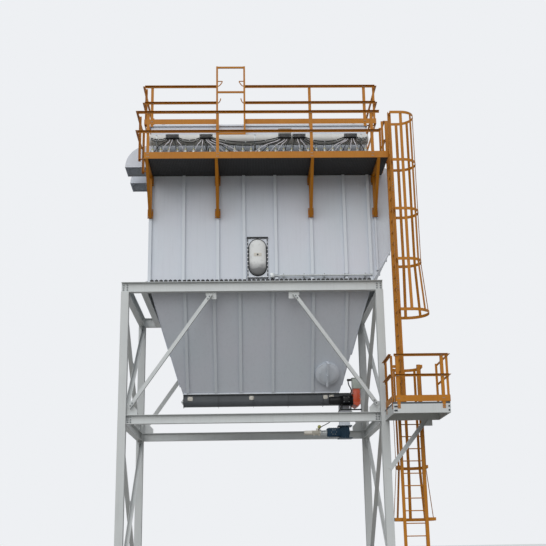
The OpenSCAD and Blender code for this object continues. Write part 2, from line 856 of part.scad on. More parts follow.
// The spout is cut to the round bottom of the trough
module discharge_spout() {
  top = trough_z - trough_r / 3;
  color(casing_grey) difference() {
    translate([spout_x - spout_w / 2, -spout_w / 2, airlock_top]) cube([spout_w, spout_w, top - airlock_top]);
    translate([spout_x - spout_w / 2 + plate_t, -spout_w / 2 + plate_t, airlock_top - past])
      cube([spout_w - 2 * plate_t, spout_w - 2 * plate_t, top]);
    translate([spout_x - spout_w, 0, trough_z]) rotate([0, 90, 0]) cylinder(r = trough_outer, h = 2 * spout_w);
  }
}

airlock_z = airlock_top - airlock_h / 2;
module airlock_flange() {
  side_w = spout_w + 2 * airlock_flange_w;
  pitch = spout_w + 2 * airlock_hole_out;
  difference() {
    cube([side_w, side_w, airlock_flange_t], center = true);
    for (side = [-1, 1], end = [-1, 1]) translate([side * pitch / 2, end * pitch / 2, 0])
      cylinder(d = airlock_hole_d, h = airlock_flange_t + 2 * past, center = true);
  }
}

module rotary_airlock() {
  neck = airlock_l - airlock_flange_t;
  color(galvanised) translate([spout_x, 0, airlock_z]) {
    rotate([0, 90, 0]) cylinder(d = airlock_d, h = airlock_l, center = true);
    for (end = [-1, 1]) translate([0, 0, end * (airlock_h - airlock_flange_t) / 2]) airlock_flange();
    translate([-neck / 2, -spout_w / 2, -airlock_h / 2]) cube([neck, spout_w, airlock_h]);
  }
}

gearbox_x = spout_x - airlock_l / 2 - gearbox_l;
module airlock_gearmotor() {
  color(drive_blue) translate([gearbox_x, -gearbox_w / 2, airlock_z - gearbox_h / 2])
    cube([gearbox_l, gearbox_w, gearbox_h]);
}

module airlock_motor() {
  color(motor_cream) translate([gearbox_x, 0, airlock_z]) rotate([0, -90, 0]) {
    cylinder(d = gear_flange_d, h = gear_flange_t);
    cylinder(d = gear_motor_d, h = gear_flange_t + gear_motor_l);
  }
}

// Service platform along the front of the casing, its deck let into a plate round its edge
deck_x0 = casing_x - casing_w / 2 - deck_left;
deck_x1 = casing_x + casing_w / 2 + deck_right;
deck_y1 = -casing_d / 2;
deck_y0 = deck_y1 - deck_d;
deck_under = deck_z - deck_t;
module platform_frame() {
  length = deck_x1 - deck_x0;
  color(safety_yellow) {
    translate([deck_x0, deck_y0, deck_under]) cube([length, edge_t, edge_h]);
    for (x = [deck_x0, deck_x1 - edge_t]) translate([x, deck_y0, deck_under])
      cube([edge_t, deck_d - rib_d, edge_h]);
  }
}

module platform_deck() {
  color(dark_grey) translate([deck_x0 + edge_t, deck_y0 + edge_t, deck_under])
    cube([deck_x1 - deck_x0 - 2 * edge_t, deck_d - edge_t, deck_t]);
}

// Triangular brackets of welded bar on the wall's ribs
bracket_ribs = [rib_places[0], rib_places[2], rib_places[5]];
bracket_places = [for (place = bracket_ribs) (place - 0.5) * casing_w, hood_rib_x];
module platform_brackets() {
  wall = deck_y1 - rib_d;
  low = deck_under - bracket_drop;
  bar_z = deck_under - bracket_bar;
  color(safety_yellow) for (x = bracket_places) translate([casing_x + x - bracket_w / 2, 0, 0])
    rotate([90, 0, 90]) linear_extrude(bracket_w) difference() {
      polygon([[deck_y0, deck_under], [wall, deck_under], [wall, low], [wall - bracket_bar, low]]);
      polygon([
        [deck_y0 + 2.7 * bracket_bar, bar_z], [wall - bracket_bar, bar_z],
        [wall - bracket_bar, low + 2 * bracket_bar]
      ]);
    }
}

// A guard rail along +X from x = 0, with z = 0 at the walking surface: its angle posts stand behind
// the plane y = 0, its bars and toe board lie in front of it, the bars with their flat leg on top
module guard_posts(places, h, foot, clear) {
  for (x = places) translate([x - post_w / 2, 0, 0]) {
    translate([0, 0, -foot]) cube([post_w, rail_t, h + foot - rail_t]);
    translate([0, 0, clear]) cube([rail_t, rail_leg, h - clear - rail_t]);
  }
}

module guard_bars(x0, x1, h) {
  for (share = [1, mid_share]) translate([x0, 0, h * share]) {
    translate([0, -rail_leg, -rail_t]) cube([x1 - x0, rail_leg, rail_t]);
    translate([0, -rail_t, -rail_leg]) cube([x1 - x0, rail_t, rail_leg]);
  }
}

module toe_board(x0, x1) {
  translate([x0, -rail_t, toe_gap]) cube([x1 - x0, rail_t, toe_h]);
}

// Cleats that reach back from side posts to the edge that carries them
module cleats(places, reach, z) {
  for (x = places) translate([x - post_w / 2, 0, z]) cube([post_w, reach, cleat_t]);
}

wall_gap = 100;
end_gap = 180;
post_inset = 60;
ladder_half = ladder_w / 2 + stringer_leg;
module platform_rail_front() {
  length = deck_x1 - deck_x0;
  color(safety_yellow) translate([deck_x0, deck_y0 - rail_t, deck_z]) {
    guard_posts([for (share = [0.015, 0.3, 0.687, 0.938]) share * length], deck_rail_h, deck_t, edge_h);
    guard_bars(-rail_over, length - end_gap, deck_rail_h);
  }
}

module platform_rail_left() {
  length = deck_d - wall_gap + rail_t + rail_leg;
  posts = [post_inset, deck_d - wall_gap - 4 * post_inset];
  color(safety_yellow) translate([deck_x0 - rail_over, deck_y1 - wall_gap, deck_z]) rotate([0, 0, -90]) {
    guard_posts(posts, deck_rail_h, 0, 0);
    guard_bars(0, length, deck_rail_h);
    cleats(posts, rail_over, edge_h / 4);
  }
}

module platform_rail_right() {
  length = deck_y1 - wall_gap - end_gap - upper_y - ladder_half;
  color(safety_yellow) translate([deck_x1 + rail_t, deck_y1 - wall_gap - length, deck_z]) rotate([0, 0, 90]) {
    guard_posts([post_inset, length - post_inset], deck_rail_h, deck_t, edge_h);
    guard_bars(0, length, deck_rail_h);
  }
}

// Pulse gear: a round header on wall brackets, one valve under it for each row of bags, and the
// boxes of the pilot valves in front of it
header_y = deck_y1 - header_out;
header_z = deck_z + header_up;
header_x0 = casing_x - casing_w / 2 + header_inset;
header_x1 = casing_x + casing_w / 2 - header_inset;
valve_pitch = (header_x1 - header_x0 - 2 * valve_inset) / (valve_count - 1);
module pulse_header() {
  color(casing_grey) {
    translate([header_x0, header_y, header_z]) rotate([0, 90, 0])
      cylinder(r = header_r, h = header_x1 - header_x0);
    for (share = [0, 0.25, 0.5, 0.75, 1]) {
      place = floor(share * (valve_count - 2)) + 0.5;
      translate([header_x0 + valve_inset + place * valve_pitch, 0, header_z]) {
        translate([-saddle_w / 2, header_y - header_r / 3, -header_r - saddle_w / 2])
          cube([saddle_w, header_out + header_r / 3, saddle_w]);
        translate([-saddle_w / 2, deck_y1 - saddle_w / 4, -header_r - saddle_w * 2])
          cube([saddle_w, saddle_w / 4, saddle_w * 2]);
      }
    }
  }
}

module pulse_valves() {
  color(galvanised) for (i = [0 : valve_count - 1])
    translate([header_x0 + valve_inset + i * valve_pitch, header_y, header_z - valve_drop]) {
      translate([0, 0, -valve_h / 2]) cylinder(r = valve_r, h = valve_h);
      translate([0, 0, -valve_h]) cylinder(r = valve_r * 0.7, h = valve_h);
      difference() {
        cylinder(r = pipe_r, h = valve_drop);
        translate([-header_r / 2, 0, valve_drop]) rotate([0, 90, 0]) cylinder(r = header_r, h = header_r);
      }
      rotate([-90, 0, 0]) cylinder(r = pipe_r, h = header_out);
    }
}

// Middle of each box and whether it is the tall one
box_list = [[-2320, 0], [-1420, 0], [685, 1], [1065, 0], [2450, 0]];
module solenoid_boxes() {
  front = header_y - header_r;
  color(dark_grey) for (box = box_list) translate([casing_x + box.x, front - box_gap, header_z]) {
    h = box.y == 1 ? tall_box_h : box_h;
    translate([-box_w / 2, -box_d, -h / 2]) cube([box_w, box_d, h]);
    translate([-cleat_t, -cleat_t, -cleat_t]) cube([2 * cleat_t, box_gap + cleat_t, 2 * cleat_t]);
  }
}

// Roof guard rails, open in front where the roof ladder arrives
roof_top = roof_z + plate_t;
roof_rail_x0 = casing_x - casing_w / 2 - roof_over;
roof_rail_len = casing_w + 2 * roof_over;
roof_rail_y = casing_d / 2 + roof_over;
roof_gap_x = 1845;
roof_foot = 60;
module roof_rail_front() {
  gap_end = roof_gap_x + roof_ladder_w;
  color(safety_yellow) translate([roof_rail_x0, -roof_rail_y - rail_t, roof_top]) {
    guard_posts([post_inset, 0.737 * roof_rail_len, roof_rail_len - post_inset], rail_h, roof_foot, 0);
    for (run = [[-roof_rail_left_out, roof_gap_x], [gap_end, roof_rail_len + roof_rail_right_out]]) {
      guard_bars(run[0], run[1], rail_h);
      toe_board(run[0], run[1]);
    }
  }
}

module roof_rail_rear() {
  x = roof_rail_x0 + roof_rail_len;
  color(safety_yellow) translate([x, roof_rail_y + rail_t, roof_top]) rotate([0, 0, 180]) {
    guard_posts([post_inset, roof_rail_len / 2, roof_rail_len - post_inset], rail_h, roof_foot, 0);
    guard_bars(-roof_rail_right_out, roof_rail_len + roof_rail_left_out, rail_h);
    toe_board(-roof_rail_right_out, roof_rail_len + roof_rail_left_out);
  }
}

module roof_side_rail(out) {
  length = 2 * roof_rail_y + 2 * rail_t;
  posts = [2 * post_inset, length / 2, length - 2 * post_inset];
  guard_posts(posts, rail_h, 0, 0);
  guard_bars(0, length, rail_h);
  toe_board(0, length);
  cleats(posts, out + roof_foot, 0);
}

module roof_rail_left() {
  color(safety_yellow) translate([roof_rail_x0 - roof_rail_left_out, roof_rail_y + rail_t, roof_top])
    rotate([0, 0, -90]) roof_side_rail(roof_rail_left_out);
}

module roof_rail_right() {
  x = roof_rail_x0 + roof_rail_len + roof_rail_right_out;
  color(safety_yellow) translate([x, -roof_rail_y - rail_t, roof_top])
    rotate([0, 0, 90]) roof_side_rail(roof_rail_right_out);
}

// The roof ladder's uprights stand in front of the rails' ends, held to the wall by short arms
module roof_ladder() {
  out = roof_over + rail_t + rail_leg + tube_w / 2;
  half = roof_ladder_w / 2;
  low = roof_z - roof_ladder_drop;
  color(safety_yellow) translate([roof_rail_x0 + roof_gap_x + half, -casing_d / 2 - out, low]) {
    for (side = [-1, 1]) translate([side * half - tube_w / 2, -tube_w / 2, 0]) {
      cube([tube_w, tube_w, roof_ladder_h]);
      translate([0, 0, 3 * tube_w]) cube([tube_w, out + tube_w / 2, tube_w]);
    }
    for (share = [0.03, 0.62, 0.975]) translate([-half, -tube_w / 3, share * roof_ladder_h])
      cube([roof_ladder_w, tube_w * 2 / 3, tube_w]);
  }
}

// A ladder in the XZ plane about x = 0, from z = 0 up, its stringers' flat legs turned to -Y
module ladder(h, rungs) {
  for (side = [0, 1]) mirror([side, 0, 0]) translate([ladder_w / 2, -stringer_d / 2, 0]) {
    cube([stringer_t, stringer_d, h]);
    cube([stringer_leg, stringer_t, h]);
  }
  for (i = [1 : rungs]) translate([-(ladder_w + stringer_t) / 2, 0, rung_pitch * (i - 0.2)])
    rotate([0, 90, 0]) cylinder(d = rung_d, h = ladder_w + stringer_t, $fn = 24);
}

// A hoop cage about the ladder: its hoops stand out towards +Y and its straps run up inside them
module hoop_outline(r, depth) {
  translate([-r, 0]) square([2 * r, depth - r]);
  intersection() {
    translate([0, depth - r]) circle(r = r);
    translate([-r, depth - r]) square([2 * r, r]);
  }
}

module hoop(r, depth) {
  linear_extrude(strap_w) {
    difference() {
      hoop_outline(r, depth);
      translate([0, -strap_t]) hoop_outline(r - strap_t, depth);
    }
    for (side = [0, 1]) mirror([side, 0])
      translate([-r, 0]) square([r - ladder_w / 2 - stringer_t, strap_t]);
  }
}

module cage(h, hoops) {
  pitch = (h - strap_w) / (hoops - 1);
  inner = cage_r - 2 * strap_t + past;
  for (i = [1 : hoops - 1]) translate([0, 0, i * pitch]) hoop(cage_r, cage_d);
  hoop(cage_r + flare, cage_d + flare);
  for (angle = [0, 45, 90, 135, 180])
    translate([0, cage_d - cage_r, 0]) rotate([0, 0, angle]) {
      translate([inner, -strap_w / 2, pitch]) cube([strap_t, strap_w, h - pitch]);
      hull() {
        translate([inner, -strap_w / 2, pitch]) cube([strap_t, strap_w, past]);
        translate([inner + flare, -strap_w / 2, 0]) cube([strap_t, strap_w, past]);
      }
    }
}

upper_x = deck_x1 + stringer_d / 2 + ladder_gap;
upper_y = front_face - upper_in;
upper_top = deck_z + rail_h;
module at_upper_ladder() {
  translate([upper_x, upper_y, landing_z]) rotate([0, 0, -90]) children();
}

// The upper ladder is held to the platform's edge by a plate behind its stringers
module upper_ladder() {
  rungs = floor((deck_z - landing_z) / rung_pitch);
  color(safety_yellow) at_upper_ladder() {
    ladder(upper_top - landing_z, rungs);
    translate([-ladder_half, -stringer_d / 2 - ladder_gap, deck_under - landing_z])
      cube([2 * ladder_half, ladder_gap, edge_h]);
  }
}

module upper_cage() {
  color(safety_yellow) at_upper_ladder() translate([0, 0, upper_clear])
    cage(upper_top - landing_z - upper_clear, 5);
}

// Landing beside the front right column: a channel frame under a flat deck
landing_x0 = col_x;
landing_x1 = landing_x0 + landing_w;
landing_y1 = front_face;
landing_y0 = landing_y1 - landing_d;
landing_under = landing_z - landing_t;
channel_low = landing_under - channel_h;

// A channel along +X, its web at y = 0 and its flanges towards +Y, its top at z = 0
module channel_x(length) {
  rotate([90, 0, 90]) linear_extrude(length) difference() {
    translate([0, -channel_h]) square([channel_w, channel_h]);
    translate([channel_t, channel_t - channel_h]) square([channel_w, channel_h - 2 * channel_t]);
  }
}

module landing_frame() {
  color(frame_white) {
    translate([landing_x0, landing_y0, landing_under]) channel_x(landing_w);
    for (x = [landing_x0, landing_x1 - channel_t]) translate([x, landing_y0 + channel_t, channel_low])
      cube([channel_t, landing_d - channel_t, channel_h]);
    translate([landing_x0, landing_y1 - channel_t, channel_low]) cube([landing_w, channel_t, channel_h]);
    low = [landing_x0 + brace_leg / 2, channel_low - knee_h];
    high = [landing_x0 + landing_w * 0.76, channel_low + brace_leg / 4];
    translate([0, landing_y1, 0]) brace(low, high);
    translate([high.x - gusset_w / 2, landing_y1 - gusset_t, high.y - gusset_w * 0.6])
      cube([gusset_w, gusset_t, gusset_w * 0.6]);
  }
}

module landing_deck() {
  color(dark_grey) translate([landing_x0, landing_y0, landing_under]) cube([landing_w, landing_d, landing_t]);
}

landing_rail_in = 260;
landing_foot = landing_t + channel_h / 2;
module landing_rail_front() {
  length = landing_w - post_inset;
  color(safety_yellow) translate([landing_x0 + post_inset, landing_y0 - rail_t, landing_z]) {
    guard_posts([post_w, length - 2 * post_w], rail_h, landing_foot, 0);
    guard_bars(0, length, rail_h);
    toe_board(0, length);
  }
}

module landing_rail_left() {
  length = landing_d - landing_rail_in;
  start = landing_y1 - landing_rail_in;
  color(safety_yellow) translate([landing_x0 - rail_t, start, landing_z]) rotate([0, 0, -90]) {
    guard_posts([post_w, length - 2 * post_w], rail_h, landing_foot, 0);
    guard_bars(0, length, rail_h);
    toe_board(0, length);
  }
}

module landing_rail_right() {
  color(safety_yellow) translate([landing_x1 + rail_t, landing_y0, landing_z]) rotate([0, 0, 90]) {
    guard_posts([post_w, landing_d - post_w], rail_h, landing_foot, 0);
    guard_bars(0, landing_d, rail_h);
    toe_board(0, landing_d);
  }
}

lower_x = landing_x0 + lower_in;
lower_y = landing_y1 + stringer_d / 2;
module lower_ladder() {
  rungs = floor(landing_z / rung_pitch);
  color(safety_yellow) translate([lower_x, lower_y, 0]) ladder(landing_z + rail_h, rungs);
}

module lower_cage() {
  color(safety_yellow) translate([lower_x, lower_y, lower_clear])
    cage(landing_z + rail_h - lower_clear, 4);
}

base_plates();
columns();
top_beams_front_rear();
top_beams_side();
lower_beams_front_rear();
lower_beams_side();
front_braces();
rear_braces();
left_bracing();
right_bracing();
hopper_front();
hopper_rear();
hopper_left();
hopper_right();
hopper_manhole();
casing_front_wall();
casing_rear_wall();
casing_left_wall();
casing_right_wall();
casing_roof();
vent_frame();
vent_dome();
inlet_plenum();
inlet_collar();
outlet_hoods();
front_conduit();
conveyor_trough();
conveyor_reducer();
conveyor_motor();
belt_guard();
switch_box();
discharge_spout();
rotary_airlock();
airlock_gearmotor();
airlock_motor();
platform_frame();
platform_deck();
platform_brackets();
platform_rail_front();
platform_rail_left();
platform_rail_right();
pulse_header();
pulse_valves();
solenoid_boxes();
roof_rail_front();
roof_rail_rear();
roof_rail_left();
roof_rail_right();
roof_ladder();
upper_ladder();
upper_cage();
landing_frame();
landing_deck();
landing_rail_front();
landing_rail_left();
landing_rail_right();
lower_ladder();
lower_cage();
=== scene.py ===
import json
import math
import random

import bpy
from mathutils import Matrix, Vector


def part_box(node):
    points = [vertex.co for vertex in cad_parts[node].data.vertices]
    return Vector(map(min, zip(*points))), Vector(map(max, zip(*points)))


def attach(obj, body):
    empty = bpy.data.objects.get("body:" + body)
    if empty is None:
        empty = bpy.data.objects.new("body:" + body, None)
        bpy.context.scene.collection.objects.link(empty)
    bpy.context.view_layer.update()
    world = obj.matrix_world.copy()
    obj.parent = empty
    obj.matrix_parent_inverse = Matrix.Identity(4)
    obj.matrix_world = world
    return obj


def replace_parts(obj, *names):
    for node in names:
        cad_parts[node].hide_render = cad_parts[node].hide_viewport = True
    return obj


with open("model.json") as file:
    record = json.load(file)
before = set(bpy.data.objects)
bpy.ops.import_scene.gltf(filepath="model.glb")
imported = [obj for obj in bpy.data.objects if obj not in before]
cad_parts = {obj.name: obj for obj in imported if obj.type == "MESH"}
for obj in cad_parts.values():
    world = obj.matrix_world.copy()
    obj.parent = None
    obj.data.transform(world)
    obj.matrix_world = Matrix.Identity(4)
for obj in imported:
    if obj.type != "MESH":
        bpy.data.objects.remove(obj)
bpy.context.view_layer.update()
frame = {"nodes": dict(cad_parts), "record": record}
nodes = frame["nodes"]
random.seed(7)
upX, upY, upZ = Vector((1, 0, 0)), Vector((0, 1, 0)), Vector((0, 0, 1))
ways = (-1, 1)
print("frame loaded:", len(nodes), "nodes")


# Camera: a phone held at eye height in front of the filter, looking up
camera = {
    "place": (-0.135, -26.342, 1.6),
    "pitch": 15.737,  # degrees above level
    "roll": -0.942,
    "turn": -1.596,  # degrees, to the right of the frame's middle line
    "focal": 962.65,  # in pixels of the photograph
    "imageWidth": 546,
    "sensor": 36,
    "far": 400,
}


def addCamera():
    pitch, roll, turn = (math.radians(camera[key]) for key in ("pitch", "roll", "turn"))
    ahead = Vector((-math.sin(turn) * math.cos(pitch), math.cos(turn) * math.cos(pitch), math.sin(pitch)))
    level = Vector((math.cos(turn), math.sin(turn), 0))
    above = level.cross(ahead)
    right = level * math.cos(roll) + above * math.sin(roll)
    up = above * math.cos(roll) - level * math.sin(roll)
    lens = bpy.data.cameras.new("eyeCamera")
    lens.sensor_width = camera["sensor"]
    lens.lens = camera["focal"] / camera["imageWidth"] * camera["sensor"]
    lens.clip_end = camera["far"]
    holder = bpy.data.objects.new("eyeCamera", lens)
    turned = Matrix((right, up, -ahead)).transposed().to_4x4()
    holder.matrix_world = Matrix.Translation(camera["place"]) @ turned
    bpy.context.collection.objects.link(holder)
    bpy.context.scene.camera = holder


addCamera()
print("camera placed")


# Modelling helpers: each one does what a hand does at the screen
def clearSelection():
    for thing in bpy.context.selected_objects:
        thing.select_set(False)


def pick(piece):
    clearSelection()
    piece.select_set(True)
    bpy.context.view_layer.objects.active = piece


def settle(piece):  # its place goes into its mesh
    pick(piece)
    bpy.ops.object.transform_apply(location=True, rotation=True, scale=True)
    return piece


def soften(piece, width, segments=2):
    pick(piece)
    bevel = piece.modifiers.new("bevel", "BEVEL")
    bevel.width, bevel.segments = width, segments
    bevel.limit_method, bevel.angle_limit = "ANGLE", math.radians(35)
    bpy.ops.object.modifier_apply(modifier=bevel.name)
    return piece


def addBlock(low, high, edge=0.002, segments=1):
    low, high = Vector(low), Vector(high)
    clearSelection()
    bpy.ops.mesh.primitive_cube_add(size=1, location=(low + high) / 2, scale=high - low)
    piece = settle(bpy.context.object)
    return soften(piece, edge, segments) if edge else piece


def addBar(middle, half, edge=0.002, segments=1):  # a block about its middle
    return addBlock(Vector(middle) - Vector(half), Vector(middle) + Vector(half), edge, segments)


def faceOf(box, axis, far=False):  # a box pressed flat onto one of its faces
    low, high = Vector(box[0]), Vector(box[1])
    low[axis] = high[axis] = (high if far else low)[axis]
    return low, high


def addOn(box, lowMove, highMove, edge=0.002, segments=1):  # a block whose corners are set off from a box's
    return addBlock(box[0] + Vector(lowMove), box[1] + Vector(highMove), edge, segments)


def addRound(start, run, radius, facets=24, edge=0.0):
    start, run = Vector(start), Vector(run)
    clearSelection()
    bpy.ops.mesh.primitive_cylinder_add(vertices=facets, radius=radius, depth=run.length,
                                        location=start + run / 2,
                                        rotation=run.to_track_quat("Z", "Y").to_euler())
    piece = settle(bpy.context.object)
    return soften(piece, edge) if edge else piece


def seat(point, normal):  # a place on a face: +Z of what is put there points along the normal
    return Matrix.Translation(point) @ Vector(normal).to_track_quat("Z", "Y").to_matrix().to_4x4()


def addTurned(profile, facets=32):  # (radius, height) steps of a shape turned about Z, closed at both ends
    clearSelection()
    radius, height = profile[0]
    bpy.ops.mesh.primitive_circle_add(vertices=facets, radius=radius, fill_type="NGON",
                                      location=(0, 0, height))
    piece = settle(bpy.context.object)
    bpy.ops.object.mode_set(mode="EDIT")
    bpy.ops.mesh.select_all(action="SELECT")
    for nextRadius, nextHeight in profile[1:]:
        bpy.ops.mesh.extrude_region_move(TRANSFORM_OT_translate={"value": (0, 0, nextHeight - height)})
        share = nextRadius / radius
        bpy.ops.transform.resize(value=(share, share, 1), center_override=(0, 0, nextHeight))
        radius, height = nextRadius, nextHeight
    bpy.ops.mesh.select_all(action="SELECT")
    bpy.ops.mesh.normals_make_consistent(inside=False)
    bpy.ops.object.mode_set(mode="OBJECT")
    return piece


def addTube(points, radius, smooth=True, facets=2):
    line = bpy.data.curves.new("tube", "CURVE")
    line.dimensions = "3D"
    line.bevel_depth, line.bevel_resolution, line.use_fill_caps = radius, facets, True
    spline = line.splines.new("NURBS" if smooth else "POLY")
    spline.points.add(len(points) - 1)
    for knot, point in zip(spline.points, points):
        knot.co = (*point, 1)
    if smooth:
        spline.order_u, spline.resolution_u, spline.use_endpoint_u = 3, 3, True
    piece = bpy.data.objects.new("tube", line)
    bpy.context.collection.objects.link(piece)
    pick(piece)
    bpy.ops.object.convert(target="MESH")
    return bpy.context.object


def moveMesh(piece, matrix):
    piece.data.transform(matrix)
    return piece


def copyTo(master, places):  # each copy has its own mesh, and the master goes
    copies = []
    for place in places:
        copy = master.copy()
        copy.data = master.data.copy()
        copy.data.transform(place)
        bpy.context.collection.objects.link(copy)
        copies.append(copy)
    bpy.data.objects.remove(master)
    return copies


def join(pieces):
    clearSelection()
    for piece in pieces:
        piece.select_set(True)
    bpy.context.view_layer.objects.active = pieces[0]
    if len(pieces) > 1:
        bpy.ops.object.join()
    return bpy.context.view_layer.objects.active


def finishPiece(pieces, name, slotName, material=None, smoothAngle=35):
    piece = join(pieces if isinstance(pieces, list) else [pieces])
    piece.name = name
    piece.data.name = name
    pick(piece)
    bpy.ops.object.shade_smooth_by_angle(angle=math.radians(smoothAngle))
    piece.data.materials.clear()
    piece.data.materials.append(material or finishes[slotName])
    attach(piece, "root")
    return piece


def about(middle, reach):
    return (middle - reach, middle + reach)


def spaced(low, high, pitch):
    count = max(1, round((high - low) / pitch))
    return [low + (high - low) * step / count for step in range(count + 1)]


def spots(xs, ys, zs, normal):  # a place for each mix of the numbers, or rows of numbers, all facing one way
    rows = [value if isinstance(value, (list, tuple)) else [value] for value in (xs, ys, zs)]
    return [((x, y, z), normal) for x in rows[0] for y in rows[1] for z in rows[2]]


def turns(count, first=0.0):  # directions round a circle, as cosines and sines
    angles = [math.radians(first + 360 * step / count) for step in range(count)]
    return [(math.cos(angle), math.sin(angle)) for angle in angles]


def roundSpots(middle, radius, count, normal, first=0.0):  # places round a circle on an upright face
    across = upX if normal.y else upY
    return [(Vector(middle) + (across * aside + upZ * rise) * radius, normal)
            for aside, rise in turns(count, first)]


# Materials
def hexColour(code):
    channels = [int(code[place:place + 2], 16) / 255 for place in (1, 3, 5)]
    linear = [c / 12.92 if c <= 0.04045 else ((c + 0.055) / 1.055) ** 2.4 for c in channels]
    return (*linear, 1)


def addNode(tree, kind, inputs=None, **settings):
    node = tree.nodes.new("ShaderNode" + kind)
    for name, value in settings.items():
        setattr(node, name, value)
    for socket, value in (inputs or {}).items():
        if isinstance(value, bpy.types.NodeSocket):
            tree.links.new(value, node.inputs[socket])
        else:
            node.inputs[socket].default_value = value
    return node


def perMetre(millimetres):  # a pattern's scale from its real spacing
    return 1000 / millimetres


def startMaterial(name, roughness, metallic=0.0, ior=1.5):
    material = bpy.data.materials.new(name)
    material.use_nodes = True
    tree = material.node_tree
    shader = tree.nodes["Principled BSDF"]
    shader.inputs["Roughness"].default_value = roughness
    shader.inputs["Metallic"].default_value = metallic
    if not metallic:
        shader.inputs["IOR"].default_value = ior
    return material, tree, addNode(tree, "TexCoord").outputs["Object"]


def addNoise(tree, place, millimetres, detail=2.0, rough=0.5):
    return addNode(tree, "TexNoise", {"Vector": place, "Scale": perMetre(millimetres), "Detail": detail,
                                      "Roughness": rough}).outputs["Fac"]


def addMath(tree, operation, *values):
    return addNode(tree, "Math", dict(enumerate(values)), operation=operation).outputs[0]


def addBump(tree, height, strength, distance, **under):
    return addNode(tree, "Bump", {"Height": height, "Strength": strength, "Distance": distance,
                                  **under}).outputs["Normal"]


def mixColours(tree, share, *colours):  # each one a code or a socket
    first, second = (hexColour(colour) if isinstance(colour, str) else colour for colour in colours)
    node = addNode(tree, "Mix", {"Factor": share, 6: first, 7: second}, data_type="RGBA", blend_type="MIX")
    return node.outputs[2]


def spread(tree, value, low, high, outLow=0.0, outHigh=1.0):
    return addNode(tree, "MapRange", {"Value": value, "From Min": low, "From Max": high,
                                      "To Min": outLow, "To Max": outHigh}).outputs["Result"]


def blend(tree, value, low, high, most, first, second):  # the second colour comes in from low to high
    return mixColours(tree, spread(tree, value, low, high, 0, most), first, second)


def paint(tree, colour, normal=None, roughness=None):
    inputs = tree.nodes["Principled BSDF"].inputs
    for name, socket in (("Base Color", colour), ("Normal", normal), ("Roughness", roughness)):
        if socket is not None:
            tree.links.new(socket, inputs[name])


# Sprayed enamel on steel plate: satin, faintly cloudy, with rain streaks that run down the walls
# and dust that lies in patches; the plate itself is a little wavy between its ribs
def sprayedEnamel(name, finish):
    material, tree, place = startMaterial(name, finish["roughness"], ior=finish["ior"])
    cloud = addNoise(tree, place, finish["cloud"], 3.0)
    tall = addNode(tree, "Mapping", {"Vector": place, "Scale": (1, 1, finish["streakDrop"])})
    streak = addNoise(tree, tall.outputs["Vector"], finish["streak"], 4.0, 0.6)
    speck = addNoise(tree, place, finish["speck"], 5.0, 0.7)
    clouded = blend(tree, cloud, 0.35, 0.7, finish["cloudShare"], finish["colour"], finish["pale"])
    streaked = blend(tree, streak, 0.5, 0.78, finish["streakShare"], clouded, finish["grime"])
    specked = blend(tree, speck, 0.6, 0.8, finish["speckShare"], streaked, finish["grime"])
    roughened = spread(tree, speck, 0.3, 0.7, finish["roughness"] - 0.06, finish["roughness"] + 0.1)
    buckled = addBump(tree, addNoise(tree, place, finish["wave"], 1.0), finish["waveShare"], 0.02)
    # orange peel is about 2 mm across, too fine to show from the ground, so it is drawn coarser
    peeled = addBump(tree, addNoise(tree, place, finish["peel"]), 0.08, 0.002, Normal=buckled)
    paint(tree, specked, peeled, roughened)
    return material


enamel = {"ior": 1.5, "roughness": 0.45, "cloud": 1400, "streak": 55, "streakDrop": 0.04, "speck": 90,
          "wave": 420, "peel": 14, "cloudShare": 0.5, "streakShare": 0.12, "speckShare": 0.12,
          "waveShare": 0.1}


# An enamel's paint, the grime in its streaks, its paler clouds, and what differs from the common enamel
def addEnamel(name, colour, grime, pale, **more):
    return sprayedEnamel(name, {**enamel, "colour": colour, "grime": grime, "pale": pale, **more})


casingEnamel = addEnamel("casingEnamel", "#cbd2da", "#9aa0a5", "#d1d1db", roughness=0.5, waveShare=0.3)
# the casing's enamel made a touch paler: partly less dirt, partly painted highlight where the edges of caps
# and angles catch the light
cleanHighlightEnamel = addEnamel("cleanHighlightEnamel", "#ced5dc", "#9ea4a9", "#d4d8df", roughness=0.5)
headerEnamel = addEnamel("headerEnamel", "#c6c7c4", "#96958e", "#d6d6d3", cloud=600, waveShare=0.05)
boxEnamel = addEnamel("boxEnamel", "#9aa29b", "#6d716b", "#a6ada6", cloud=300, waveShare=0.05)
frameEnamel = addEnamel("frameEnamel", "#c1c5c5", "#86837b", "#cacdcc", cloud=700, speckShare=0.2)
safetyEnamel = addEnamel("safetyEnamel", "#ae6e12", "#66410f", "#bb7b1c", ior=1.36, roughness=0.48, cloud=500,
                         speckShare=0.3, waveShare=0.05)
darkEnamel = addEnamel("darkEnamel", "#43474b", "#2f2e2b", "#53585c", roughness=0.5, cloud=500)
guardEnamel = addEnamel("guardEnamel", "#b84420", "#6f2d17", "#c6532b", roughness=0.4, cloud=300,
                        waveShare=0.04)
driveEnamel = addEnamel("driveEnamel", "#122d3f", "#1b2023", "#193a50", ior=1.3, roughness=0.42, cloud=300,
                        waveShare=0.03)
blackEnamel = addEnamel("blackEnamel", "#17181a", "#2d2b27", "#1e2023", ior=1.3, roughness=0.4, cloud=300,
                        waveShare=0.03)
motorEnamel = addEnamel("motorEnamel", "#c9c5bb", "#857f73", "#d4d1c8", cloud=300, waveShare=0.03)


